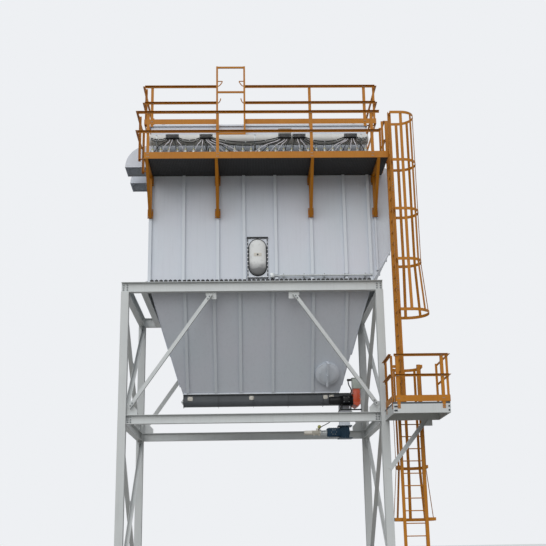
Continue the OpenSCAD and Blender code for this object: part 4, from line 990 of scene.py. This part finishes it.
def manholeLid():
    middle = onHopper(manhole["x"], plateLength - manhole["rise"])
    toWorld = Matrix.Translation(middle) @ Matrix((upX, -slopeDown, slopeOut)).transposed().to_4x4()
    radius, top = manhole["radius"], manhole["neck"]
    lid = addTurned([(radius + 0.018, top - 0.004), (radius + 0.018, top + 0.004),
                     (radius - 0.01, top + 0.008), (radius - 0.03, top + 0.022), (radius - 0.1, top + 0.034),
                     (0.05, top + 0.038)], 64)
    collar = addTurned([(radius + 0.026, 0.0), (radius + 0.026, 0.01), (radius + 0.002, 0.014)], 64)
    rim = addTurned([(radius + 0.01, top - 0.03), (radius + 0.022, top - 0.026),
                     (radius + 0.022, top - 0.014), (radius + 0.01, top - 0.012)], 64)
    finishPiece([moveMesh(part, toWorld) for part in (lid, collar, rim)], "manhole_lid", "casing_paint")
    strap = addBar((0, 0, top + 0.0675), (radius + 0.045, 0.03, 0.0075), 0.002)
    ears = [addBar((x, 0, top - 0.01), (0.012, 0.03, 0.08), 0.002) for x in about(0, radius + 0.03)]
    pad = addRound((0, 0, top + 0.02), (0, 0, 0.04), 0.045, 24, 0.003)
    screw = addRound((0, 0, top + 0.06), (0, 0, 0.07), 0.014, 14, 0.002)
    bar = addRound((-0.09, 0, top + 0.118), (0.18, 0, 0), 0.009, 12, 0.002)
    hoop = ((-0.07, 0.02), (-0.07, 0.07), (0.07, 0.07), (0.07, 0.02))
    handle = addTube([(x, 0.2, top + rise) for x, rise in hoop], 0.007, smooth=False)
    upright = toWorld @ Matrix.Rotation(math.pi / 2, 4, "Z")
    finishPiece([moveMesh(part, upright) for part in (strap, *ears, pad, screw, bar, handle)],
                "manhole_strap", "casing_paint")


# The hopper's ribs are T bars too: their webs reach the beam and the slot's flange, and a cap lies on each
hopperRibs = {"places": (0.03, 0.21, 0.37, 0.575, 0.827, 1.035), "slot": 4.25, "web": 0.036, "half": 0.025,
              "cap": 0.042, "t": 0.005, "top": 0.06, "clip": 0.27, "low": 0.07, "edge": 0.06}


def hopperCaps():
    wide, narrow = casingWide / 2, hopperRibs["slot"] / 2
    web, half, cap, top = (hopperRibs[key] for key in ("web", "half", "cap", "top"))
    lowClip = plateLength - hopperRibs["clip"]
    caps, ends = [], []
    for face, turn in ((1, 0), (-1, math.pi)):
        for share in hopperRibs["places"]:
            across = (share - 0.5) * hopperRibs["slot"]
            reach = (wide - abs(across) - hopperRibs["edge"]) / (wide - narrow) * plateLength
            low = min(plateLength - hopperRibs["low"], reach)
            local = Matrix.Rotation(turn, 4, "Z") @ Matrix.Translation(onHopper(face * casingMid + across, 0))
            local @= Matrix((upX, slopeDown, slopeOut)).transposed().to_4x4()
            caps.append(moveMesh(addBlock((-cap, top, web), (cap, low, web + hopperRibs["t"]), 0.001), local))
            spans = [(top, hopperRibs["clip"])] + ([(lowClip, low)] if low > lowClip else [])
            ends += [moveMesh(addBlock((-half, near, 0), (half, far, web), 0.001), local)
                     for near, far in spans]
    finishPiece(caps, "hopper_rib_caps", "casing_paint", cleanHighlightEnamel)
    finishPiece(ends, "hopper_rib_ends", "casing_paint")


# Welds where the hopper's ribs and corners meet the plates, laid as a slightly uneven bead
welds = {"rib": 0.004, "corner": 0.005, "step": 0.16, "wander": 0.25, "toe": 0.026, "short": 0.26}


def addBead(start, end, radius):
    count = max(2, round((end - start).length / welds["step"]))
    wander = radius * welds["wander"]
    points = [start.lerp(end, step / count) + Vector([random.uniform(-wander, wander) for axis in range(3)])
              for step in range(count + 1)]
    return addTube(points, radius, facets=1)


def hopperWelds():
    beads = []
    for share in hopperRibs["places"][:-1]:
        for x in about(casingMid + (share - 0.5) * hopperRibs["slot"], welds["toe"]):
            beads.append(addBead(onHopper(x, welds["short"]), onHopper(x, plateLength - welds["short"]),
                                 welds["rib"]))
    for side in ways:
        beads.append(addBead(onHopper(casingMid + side * casingWide / 2, 0.01, 0.002),
                             onHopper(casingMid + side * hopperRibs["slot"] / 2, plateLength - 0.01, 0.002),
                             welds["corner"]))
    finishPiece(beads, "hopper_welds", "casing_paint", smoothAngle=60)


manholeLid()
hopperWelds()
hopperCaps()
print("hopper dressed")


# Screw conveyor: bands and rims of the trough, flange bolts, slot angles, bare plates, the shaft's end
conveyor = {"flangeT": 0.012, "drop": 0.16, "outer": 0.146, "endX": 2.635, "flangeHalf": 0.19, "pitch": 0.14,
            "bands": (-1.9, -0.95, 0, 0.95, 1.9), "band": 0.006, "rim": 0.008,
            "plates": ((-1.715, 0.14, 5.385, 5.5), (-0.045, 0.13, 5.395, 5.505), (1.97, 0.13, 5.395, 5.505),
                       (2.14, 0.13, 5.41, 5.51))}
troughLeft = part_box("conveyor_trough")[0].x
screwZ = slotZ - conveyor["flangeT"] - conveyor["drop"]


def troughFittings():
    outer, half, under = conveyor["outer"], conveyor["flangeHalf"], slotZ - conveyor["flangeT"]
    rims = [(x, conveyor["band"], outer + 0.03, 0) for x in conveyor["bands"]]
    rims += [(x, conveyor["rim"], outer + 0.02, 0.001)
             for x in (troughLeft, conveyor["endX"] - conveyor["rim"])]
    bands = []
    for x, t, reach, edge in rims:
        bands += [addBlock((x, -reach, screwZ), (x + t, reach, under), 0.001),
                  addRound((x, 0, screwZ), (t, 0, 0), reach, 40, edge)]
    finishPiece(bands, "trough_bands", "dark_paint")
    places = spots(spaced(troughLeft + 0.05, 2.3, conveyor["pitch"]), about(0, half - 0.016), under, -upZ)
    places += spots(spaced(troughLeft + 0.12, 2.25, conveyor["pitch"] * 4), -half, slotZ + 0.02, -upY)
    boltRow("trough_bolts", places, "small")
    # the slot's angles are in the paler enamel: a painted highlight along the flange edge lit from the sky
    for name, slotName, material, t, low, high in (
            ("slot_angle", "frame_paint", cleanHighlightEnamel, 0.004, (0.02, 0.003), (2.33, 0.034)),
            ("slot_seal", "dark_paint", cableRubber, 0.005, (0.01, -0.016), (2.34, 0.002))):
        strips = [addBlock((troughLeft + low[0], y - t, slotZ + low[1]),
                           (high[0], y + t, slotZ + high[1]), 0.001) for y in about(0, half + 0.004)]
        finishPiece(strips, name, slotName, material)
    plates, screws = [], []
    for x, wide, low, high in conveyor["plates"]:
        face = -outer - 0.014
        plates.append(addBlock((x - wide / 2, face, low), (x + wide / 2, face + 0.01, high), 0.003, 2))
        screws += spots(about(x, wide / 2 - 0.014), face, (low + 0.014, high - 0.014), -upY)
    finishPiece(plates, "trough_plates", "frame_paint", motorEnamel)
    boltRow("trough_plate_screws", screws, "small")
    seal = addRound((troughLeft - 0.03, 0, screwZ), (0.03, 0, 0), 0.07, 28, 0.004)
    shaft = addRound((troughLeft - 0.06, 0, screwZ), (0.03, 0, 0), 0.03, 20, 0.003)
    finishPiece([seal, shaft], "screw_end", "zinc")


# A squirrel-cage motor: a finned frame with end shields, and a fan cowl with a slotted end
def addFinned(start, run, radius, fins, depth):
    start, run = Vector(start), Vector(run)
    fin = addBlock((radius - depth - 0.004, -0.0025, 0.012), (radius, 0.0025, run.length - 0.012), 0.0008)
    angles = [2 * math.pi * (step + 0.5) / fins for step in range(fins)]
    pieces = copyTo(fin, [seat(start, run) @ Matrix.Rotation(angle, 4, "Z") for angle in angles])
    shield = run.normalized() * 0.02
    pieces += [addRound(start, run, radius - depth, 40), addRound(start, shield, radius * 0.98, 40, 0.004),
               addRound(start + run, -shield, radius * 0.98, 40, 0.004)]
    return pieces


def addCowl(start, run, radius):
    length = Vector(run).length
    pieces = [addTurned([(radius, 0.0), (radius, length - 0.03), (radius * 0.94, length - 0.008),
                         (radius * 0.86, length)], 40)]
    for share in (0.25, 0.45, 0.65, 0.82):
        inner, outer = about(radius * share, 0.006)
        rim = [(outer, length), (outer, length + 0.004), (inner, length + 0.004), (inner, length)]
        pieces.append(addTurned(rim, 32))
    bar = addBlock((-radius * 0.84, -0.005, length), (radius * 0.84, 0.005, length + 0.003), 0.001)
    pieces += copyTo(bar, [Matrix.Rotation(math.radians(turn), 4, "Z") for turn in (0, 60, 120)])
    return [moveMesh(piece, seat(start, run)) for piece in pieces]


motor = {"y": -0.33, "drop": 0.058, "radius": 0.135, "length": 0.365, "cowl": 0.279, "cowlRadius": 0.11,
         "footHalf": 0.1, "footThick": 0.05, "fins": 40, "finDepth": 0.022}
guardBox = guardLow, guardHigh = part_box("belt_guard")
motorZ = screwZ - motor["drop"]


def conveyorMotor():
    right, y, z = guardLow.x, motor["y"], motorZ
    left, under, footTop = right - motor["length"], z - motor["radius"], screwZ + motor["footThick"]
    near, far = about(right - motor["length"] / 2, motor["footHalf"])
    pieces = addFinned((left, y, z), (motor["length"], 0, 0), motor["radius"], motor["fins"],
                       motor["finDepth"])
    pieces += addCowl((left + 0.004, y, z), (-motor["cowl"], 0, 0), motor["cowlRadius"])
    pieces += [addBlock((near, y, screwZ), (far, -conveyor["outer"], footTop), 0.003),
               addBlock((near + 0.01, y - 0.02, z + 0.1), (far - 0.01, y + 0.11, z + 0.145), 0.004),
               addBlock((left + 0.1, y - 0.2, z - 0.07), (left + 0.25, y - 0.1, z + 0.07), 0.008, 2),
               addBlock((left + 0.095, y - 0.215, z - 0.076), (left + 0.255, y - 0.196, z + 0.076), 0.006, 2),
               addBlock((left + 0.01, y - 0.14, under - 0.14),
                        (guardHigh.x + 0.03, y - 0.06, under - 0.11), 0.004)]
    pieces += [addBlock((x, y - 0.12, under - 0.115), (x + 0.03, y - 0.02, under + 0.03), 0.003)
               for x in (left + 0.04, right - 0.08)]
    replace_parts(finishPiece(pieces, "screw_motor", "dark_paint", blackEnamel), "conveyor_motor")
    places = spots((left + 0.107, left + 0.243), y - 0.215, about(z, 0.062), -upY)
    places += spots((near + 0.03, far - 0.03), -conveyor["outer"] - 0.03, footTop, upZ)
    boltRow("screw_motor_bolts", places, "small")


# Belt guard: folded edges, a bolted front with stiffening pressings, and the outer bearing
guard = {"fold": 0.006, "point": 0.06, "boltIn": 0.018, "boltPitch": 0.11, "bearing": 0.012}


def beltGuard():
    low, high, fold, point = guardLow, guardHigh, guard["fold"], guardLow.z + guard["point"]
    left, right, top = low.x + fold, high.x - fold, high.z - fold
    outline = [(left, top), (right, top), (right, point), ((left + right) / 2, low.z + 0.008), (left, point),
               (left, top)]
    pieces = [addTube([(x, low.y, z) for x, z in outline], fold, smooth=False),
              addOn(faceOf(guardBox, 1), (0.03, -0.004, 0.11), (-0.03, 0.002, -0.05), 0.003, 2),
              addOn(faceOf(guardBox, 1), (0.055, -0.008, 0.15), (-0.055, -0.002, -0.1), 0.003, 2),
              addOn(faceOf(guardBox, 2, True), (-0.004, -0.006, -0.004), (0.004, 0.004, 0), 0.002)]
    finishPiece(pieces, "guard_folds", "guard_paint")
    levels = (low.z + 0.1, high.z - 0.03)
    places = spots((low.x + guard["boltIn"], high.x - guard["boltIn"]), low.y,
                   spaced(*levels, guard["boltPitch"]), -upY)
    places += spots(high.x, spaced(low.y + 0.05, high.y - 0.05, 0.16), levels, upX)
    boltRow("guard_bolts", places, "small")
    face = high.x + guard["bearing"]
    plate = [addBlock((high.x, -0.11, screwZ - 0.13), (face, 0.11, screwZ + 0.13), 0.002),
             addRound((face, 0, screwZ), (0.048, 0, 0), 0.075, 32, 0.006),
             addRound((face + 0.048, 0, screwZ), (0.025, 0, 0), 0.045, 28, 0.004)]
    finishPiece(plate, "outer_bearing", "frame_paint", motorEnamel)
    boltRow("outer_bearing_bolts", spots(face, about(0, 0.085), about(screwZ, 0.1), upX), "flange")


# Switch box on the guard: door with hinges and a cam lock, a gland and a cable down to the motor
def switchBox():
    box = low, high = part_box("switch_box")
    left, right, front, middle = low.x, high.x, low.y, (low.z + high.z) / 2
    door = [addOn(faceOf(box, 1), (0.006, -0.012, 0.006), (-0.006, 0.002, -0.006), 0.006, 2),
            addOn(faceOf(box, 2, True), (-0.012, -0.03, -0.004), (0.012, 0.004, 0.006), 0.003)]
    door += [addRound((left + 0.002, front - 0.008, z), (0, 0, 0.045), 0.008, 12, 0.001)
             for z in (low.z + 0.04, high.z - 0.085)]
    finishPiece(door, "switch_box_door", "casing_paint", boxEnamel)
    lock = addRound((right - 0.035, front - 0.02, middle), (0, 0.02, 0), 0.011, 16, 0.002)
    key = addBar((right - 0.035, front - 0.0215, middle), (0.003, 0.0025, 0.008), 0.001)
    finishPiece([lock, key], "switch_box_lock", "zinc", zincBolts)
    y, top, motorY = front + 0.05, high.z - 0.045, motor["y"]
    gland = addRound((left - 0.02, y, top), (0.02, 0, 0), 0.018, 6, 0.002)
    turnBox = addBlock((left - 0.13, y - 0.03, top - 0.028), (left - 0.015, y + 0.03, top + 0.028), 0.008, 2)
    cable = addTube([(left - 0.1, y, top - 0.02), (left - 0.1, y, top - 0.07),
                     (left - 0.085, y - 0.01, top - 0.15), (left - 0.04, y - 0.03, low.z + 0.02),
                     (left - 0.02, y - 0.05, low.z - 0.08),
                     (left - 0.06, motorY - 0.08, motorZ + 0.17), (left - 0.12, motorY - 0.14, motorZ + 0.1),
                     (left - 0.14, motorY - 0.15, motorZ + 0.06)], 0.016)
    finishPiece([gland, turnBox, cable], "motor_cable", "dark_paint", cableRubber, 60)


troughFittings()
conveyorMotor()
beltGuard()
switchBox()
print("conveyor dressed")


# Rotary airlock: end covers, flange bolts, and the spout's flange
airlock = {"x": 2.483, "z": 4.5, "height": 0.34, "radius": 0.14, "half": 0.115, "flangeHalf": 0.19,
           "flangeT": 0.016, "ribs": 0.07, "boltPitch": 0.085, "spoutFlange": 0.05, "spoutT": 0.01}


def airlockBody():
    x, z, left, right = airlock["x"], airlock["z"], *about(airlock["x"], airlock["half"])
    cover = airlock["radius"] + 0.012
    pieces = [addRound((left + 0.014, 0, z), (-0.014, 0, 0), cover, 48, 0.002),
              addRound((right - 0.014, 0, z), (0.014, 0, 0), cover, 48, 0.002),
              addRound((left - 0.001, 0, z), (0.005, 0, 0), 0.09, 32, 0.001),
              addRound((right, 0, z), (0.02, 0, 0), 0.06, 32, 0.004)]
    pieces += [addBar((rib, 0, z), (0.004, airlock["flangeHalf"] - 0.03, 0.15), 0.001)
               for rib in (x, *about(x, airlock["ribs"]))]
    finishPiece(pieces, "airlock_covers", "drive_paint")
    places = roundSpots((right, 0, z), airlock["radius"] - 0.002, 12, upX)
    edge, top = airlock["flangeHalf"] - 0.02, airlock["height"] / 2 - airlock["flangeT"]
    steps = spaced(0.075 - edge, edge - 0.075, airlock["boltPitch"])
    for level, out in ((z + top, -upZ), (z - top, upZ)):
        places += spots([x + step for step in steps], about(0, edge), level, out)
        places += spots(about(x, edge), steps, level, out)
    boltRow("airlock_bolts", places, "small")
    spoutLow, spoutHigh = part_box("discharge_spout")
    top = spoutLow.z + airlock["spoutT"]
    finishPiece(addBorder(spoutLow, (spoutHigh.x, spoutHigh.y, top), airlock["spoutFlange"]), "spout_flange",
                "casing_paint")
    steps = spaced(0.02 - edge, edge - 0.02, airlock["boltPitch"])
    boltRow("spout_bolts", spots([x + step for step in steps], about(0, edge), top, upZ), "small")


# Its gearbox: a ribbed case with a round cover
def airlockGearbox():
    box = low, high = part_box("airlock_gearmotor")
    middle = (low + high) / 2
    case = [addOn(box, (0.02, 0.012, 0.012), (-0.01, -0.012, -0.012), 0.024, 4),
            addOn(faceOf(box, 0, True), (-0.03, 0, 0), (0, 0, 0), 0.012, 3),
            addOn(faceOf(box, 0), (0, 0.02, 0.02), (0.03, -0.02, -0.02), 0.02, 3)]
    for step in (-2, -1, 0, 1, 2):
        left, right = about(middle.x + step * 0.055, 0.005)
        case.append(addBlock((left, low.y + 0.002, low.z + 0.004),
                             (right, high.y - 0.002, high.z - 0.004), 0.012, 2))
    case.append(addRound((middle.x, low.y + 0.02, middle.z), (0, -0.02, 0), 0.08, 32, 0.004))
    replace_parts(finishPiece(case, "airlock_gearbox", "drive_paint"), "airlock_gearmotor")
    boltRow("gearbox_bolts", roundSpots((middle.x, low.y, middle.z), 0.066, 6, -upY), "small")


# Its motor: finned, on a lantern of four rods, with a terminal box and a coloured cap
drive = {"radius": 0.064, "lantern": 0.17, "reach": 0.42, "fins": 26, "finDepth": 0.012, "cowlShare": 0.96}


def airlockMotor():
    low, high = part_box("airlock_motor")
    radius, lantern, z, right = drive["radius"], drive["lantern"], (low.z + high.z) / 2, high.x
    left, end, top, under = right - lantern, right - drive["reach"], z + radius, z - radius
    tube = addTurned([(0.05, 0.0), (0.042, 0.03), (0.042, lantern - 0.04), (0.07, lantern - 0.014)], 36)
    neck = [addRound((right - 0.014, 0, z), (0.014, 0, 0), 0.1, 40, 0.004),
            addRound((left, 0, z), (0.014, 0, 0), 0.082, 40, 0.004),
            moveMesh(tube, seat((left + 0.012, 0, z), upX))]
    neck += [addRound((left, y * 0.068, z + up * 0.068), (lantern - 0.012, y * 0.006, up * 0.006), 0.008, 10)
             for y, up in turns(4, 45)]
    finishPiece(neck, "motor_lantern", "zinc")
    pieces = addFinned((end, 0, z), (left - end, 0, 0), radius, drive["fins"], drive["finDepth"])
    pieces += addCowl((end + 0.004, 0, z), (low.x - end + 0.001, 0, 0), radius * drive["cowlShare"])
    pieces += [addBlock((left - 0.12, -0.045, top - 0.014), (left - 0.01, 0.045, top + 0.04), 0.006, 2),
               addBlock((left - 0.126, -0.05, top + 0.036), (left - 0.004, 0.05, top + 0.05), 0.005, 2)]
    pieces += [addBlock((x, -0.05, under - 0.016), (x + 0.03, 0.05, under + 0.02), 0.003)
               for x in (left - 0.2, left - 0.06)]
    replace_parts(finishPiece(pieces, "airlock_drive_motor", "casing_paint", motorEnamel), "airlock_motor")
    boltRow("motor_flange_bolts", roundSpots((left, 0, z), 0.07, 4, -upX, 45), "small")
    cap = [addRound((left - 0.03, -0.012, top + 0.095), (0, 0.024, 0), 0.05, 28, 0.006),
           addRound((left - 0.03, 0, top + 0.045), (0, 0, 0.015), 0.014, 16, 0.002)]
    finishPiece(cap, "motor_cap", "guard_paint", capPlastic)
    cable = addTube([(left - 0.06, -0.045, top + 0.015), (left - 0.06, -0.08, top + 0.015),
                     (left, -0.14, top + 0.08), (right + 0.1, -0.19, z + 0.26),
                     (right + 0.3, -0.2, z + 0.48), (right + 0.42, -0.2, screwZ - 0.16)], 0.011)
    finishPiece(cable, "airlock_cable", "dark_paint", cableRubber, 60)


airlockBody()
airlockGearbox()
airlockMotor()
print("airlock dressed")


# Explosion vent: a domed panel in a black seal, a hinge bar across its top, a bare plate at its middle
dome = {"rise": 0.105, "seal": 0.013, "rings": 9, "fullness": 0.8, "margin": 0.05, "bar": 0.04,
        "strip": 0.031, "plate": (0.2, 0.09), "pin": 0.055}


def stadium(half, straight, steps=24):
    upper = [(half * math.cos(math.pi * step / steps), straight + half * math.sin(math.pi * step / steps))
             for step in range(steps + 1)]
    return upper + [(-x, -z) for x, z in upper]


def addDome(half, straight):  # a turned bowl, its upper and lower halves drawn apart
    steps = [math.pi / 2 * ring / dome["rings"] for ring in range(dome["rings"])]
    profile = [(half * math.cos(turn) ** dome["fullness"], dome["rise"] * math.sin(turn) ** dome["fullness"])
               for turn in steps]
    bowl = moveMesh(addTurned([*profile, (0.012, dome["rise"])], 48), seat((0, 0, 0), -upY))
    for side in ways:
        pick(bowl)
        for part in (*bowl.data.edges, *bowl.data.polygons):
            part.select = False
        for vertex in bowl.data.vertices:
            vertex.select = vertex.co.z * side > 1e-5
        bpy.ops.object.mode_set(mode="EDIT")
        bpy.ops.transform.translate(value=(0, 0, side * straight))
        bpy.ops.object.mode_set(mode="OBJECT")
    return bowl


def ventPanel():
    low, high, bar, strip = ventLow, ventHigh, dome["bar"] / 2, dome["strip"]
    front = faceOf((low, high), 1)
    middle = Vector(((low.x + high.x) / 2, low.y, (low.z + high.z) / 2))
    half = (high.x - low.x) / 2 - dome["margin"]
    straight = (high.z - low.z) / 2 - dome["margin"] - half
    panel = moveMesh(addDome(half - 0.002, straight), Matrix.Translation(middle + upY * 0.004))
    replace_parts(finishPiece(panel, "vent_panel", "casing_paint", domeEnamel, 60), "vent_dome")
    edge = [middle + Vector((x, -0.002, z)) for x, z in stadium(half + dome["seal"] * 0.4, straight)]
    seal = [addTube([*edge, edge[0]], dome["seal"], smooth=False),
            addOn(faceOf(front, 2, True), (-0.006, -0.03, -bar), (0.006, 0.02, bar), 0.004),
            addOn(faceOf(front, 2), (0, -0.008, -0.012), (0, 0.02, 0.002), 0.002)]
    finishPiece(seal, "vent_seal", "dark_paint", blackEnamel)
    strips = [addBlock((x, low.y - 0.002, low.z + 0.003), (x + strip, low.y + 0.002, high.z - bar), 0.0005)
              for x in (low.x + 0.001, high.x - 0.001 - strip)]
    finishPiece(strips, "vent_strips", "dark_paint")
    wide, tall = dome["plate"]
    crown, foot = low.y - dome["rise"], middle.z + 0.01
    plate = addBlock((middle.x - wide / 2, crown, foot),
                     (middle.x + wide / 2, crown + 0.016, foot + tall), 0.002)
    finishPiece(plate, "vent_plate", "frame_paint", motorEnamel)
    boltRow("vent_pin", [((middle.x, crown, middle.z + dome["pin"]), -upY)], "structural", material=darkBolts)


# Conduit along the casing's foot: straps on their bearers, and a pull box at its end
conduit = {"strapPitch": 0.55, "screw": 0.045}


def conduitStraps():
    low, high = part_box("front_conduit")
    y, z, radius = (low.y + high.y) / 2, (low.z + high.z) / 2, (high.z - low.z) / 2
    xs = spaced(low.x + 0.25, high.x - 0.2, conduit["strapPitch"])
    pieces = [addBlock((low.x - 0.1, low.y - 0.02, z - 0.06),
                       (low.x + 0.01, high.y + 0.03, z + 0.06), 0.006, 2),
              addBlock((low.x - 0.07, high.y, z - 0.03), (low.x - 0.02, frontFace, z + 0.03), 0.002)]
    for x in xs:
        pieces += [addRound((x - 0.01, y, z), (0.02, 0, 0), radius + 0.003, 24, 0.001),
                   addBlock((x - 0.01, y, z - 0.055), (x + 0.01, high.y + 0.001, z + 0.055), 0.001),
                   addBlock((x - 0.02, high.y, z - 0.04), (x + 0.02, frontFace, z + 0.04), 0.001)]
    finishPiece(pieces, "conduit_straps", "zinc")
    boltRow("conduit_screws", spots(xs, y, about(z, conduit["screw"]), -upY), "small")


# Outlet hoods: a mesh across each mouth, a bolted wall flange and a turned lower edge
hood = {"width": 0.69, "height": 0.62, "pitch": 0.05, "wire": 0.0022, "flange": 0.03, "flangeT": 0.005,
        "boltPitch": 0.14}


def outletHoods():
    low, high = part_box("outlet_hoods")
    left, right, z = low.x, casingLeft, low.z
    face, flange, top = right - hood["flangeT"], hood["flange"], z + hood["height"]
    wires, edges, places = [], [], []
    for front in (low.y, high.y - hood["width"]):
        rear = front + hood["width"]
        wires += [addRound((x, front + 0.01, z + 0.012), (0, hood["width"] - 0.02, 0), hood["wire"], 6)
                  for x in spaced(left + 0.02, right - 0.02, hood["pitch"])]
        wires += [addRound((left + 0.01, y, z + 0.017), (right - left - 0.02, 0, 0), hood["wire"], 6)
                  for y in spaced(front + 0.02, rear - 0.02, hood["pitch"])]
        edges += [addBlock((face, y, z - 0.02), (right, y + flange, top + flange), 0.001)
                  for y in (front - flange, rear)]
        edges += [addBlock((face, front - flange, top), (right, rear + flange, top + flange), 0.001),
                  addBlock((left - 0.004, front - 0.004, z - 0.012),
                           (left + 0.006, rear + 0.004, z + 0.012), 0.001)]
        edges += [addBlock((left, y, z - 0.012), (right, y + 0.01, z + 0.012), 0.001)
                  for y in (front - 0.004, rear - 0.006)]
        places += spots(face, (front - flange / 2, rear + flange / 2),
                        spaced(z + 0.02, top - 0.02, hood["boltPitch"]), -upX)
    finishPiece(wires, "hood_mesh", "zinc", smoothAngle=60)
    finishPiece(edges, "hood_edges", "casing_paint")
    boltRow("hood_bolts", places, "small")


# Roof: a folded drip edge, standing seams and four lifting lugs by the corners
roofing = {"drip": 0.04, "t": 0.003, "seamPitch": 0.84, "lugRise": 0.1}


def roofFittings():
    low, high, t = roofLow, roofHigh, roofing["t"]
    drip, lugTop = low.z - roofing["drip"], high.z + roofing["lugRise"]
    pieces = [addBlock((low.x, y, drip), (high.x, y + t, low.z), 0.001) for y in (low.y, high.y - t)]
    pieces += [addBlock((x, low.y, drip), (x + t, high.y, low.z), 0.001) for x in (low.x, high.x - t)]
    pieces += [addBlock((x - 0.025, low.y + 0.02, high.z), (x + 0.025, high.y - 0.02, high.z + 0.012), 0.003)
               for x in spaced(low.x + 0.9, high.x - 0.9, roofing["seamPitch"])]
    for x in (low.x + 0.35, high.x - 0.35):
        for y in (low.y + 0.3, high.y - 0.3):
            eye = addTurned([(0.055, -0.012), (0.055, 0.012)], 24)
            pieces += [addBlock((x - 0.07, y - 0.008, high.z), (x + 0.07, y + 0.008, lugTop), 0.002),
                       moveMesh(eye, seat((x, y, lugTop), upY))]
    finishPiece(pieces, "roof_edge", "casing_paint")


ventPanel()
conduitStraps()
outletHoods()
roofFittings()
print("casing dressed")


# Stage: a pale floor and even light from an overcast sky
stage = {"floor": 1200, "floorColour": "#d9dadb", "floorMottle": "#c8c9ca", "mottle": 3000,
         "yard": "#8e8b86", "sky": "#eef0f3", "skyStrength": 0.72, "sunStrength": 1.6, "sunWidth": 60,
         "sunAim": (0.22, 0.88, -0.7)}


def addFloor():
    clearSelection()
    bpy.ops.mesh.primitive_plane_add(size=stage["floor"], location=(0, 0, 0))
    floor = bpy.context.object
    floor.name = "pale_floor"
    material, tree, place = startMaterial("paleFloor", 0.9)
    paint(tree, blend(tree, addNoise(tree, place, stage["mottle"]), 0.3, 0.7, 0.1,
                      stage["floorColour"], stage["floorMottle"]))
    # the camera sees a pale floor, while the object is lit from below as by an old concrete yard
    yard = addNode(tree, "BsdfDiffuse", {"Color": hexColour(stage["yard"])})
    path = addNode(tree, "LightPath")
    seen = addMath(tree, "MAXIMUM", path.outputs["Is Camera Ray"], path.outputs["Is Glossy Ray"])
    pale = tree.nodes["Principled BSDF"]
    mixed = addNode(tree, "MixShader", {"Fac": seen, 1: yard.outputs[0], 2: pale.outputs[0]})
    tree.links.new(mixed.outputs[0], tree.nodes["Material Output"].inputs["Surface"])
    floor.data.materials.append(material)


def addSky():
    world = bpy.data.worlds.new("overcast")
    world.use_nodes = True
    bpy.context.scene.world = world
    tree = world.node_tree
    light = tree.nodes["Background"]
    light.inputs["Color"].default_value = hexColour(stage["sky"])
    light.inputs["Strength"].default_value = stage["skyStrength"]
    shown = addNode(tree, "Background", {"Color": hexColour(stage["sky"]), "Strength": 1.0})
    seen = addNode(tree, "MixShader", {"Fac": addNode(tree, "LightPath").outputs["Is Camera Ray"],
                                       1: light.outputs["Background"], 2: shown.outputs["Background"]})
    tree.links.new(seen.outputs["Shader"], tree.nodes["World Output"].inputs["Surface"])


def addSun(name, strength, aim):
    lamp = bpy.data.lights.new(name, "SUN")
    lamp.energy = strength
    lamp.angle = math.radians(stage["sunWidth"])
    holder = bpy.data.objects.new(name, lamp)
    holder.rotation_euler = Vector(aim).to_track_quat("-Z", "Y").to_euler()
    bpy.context.collection.objects.link(holder)


addFloor()
addSky()
addSun("highCloud", stage["sunStrength"], stage["sunAim"])
bpy.context.scene.view_settings.view_transform = "Standard"
print("stage set")
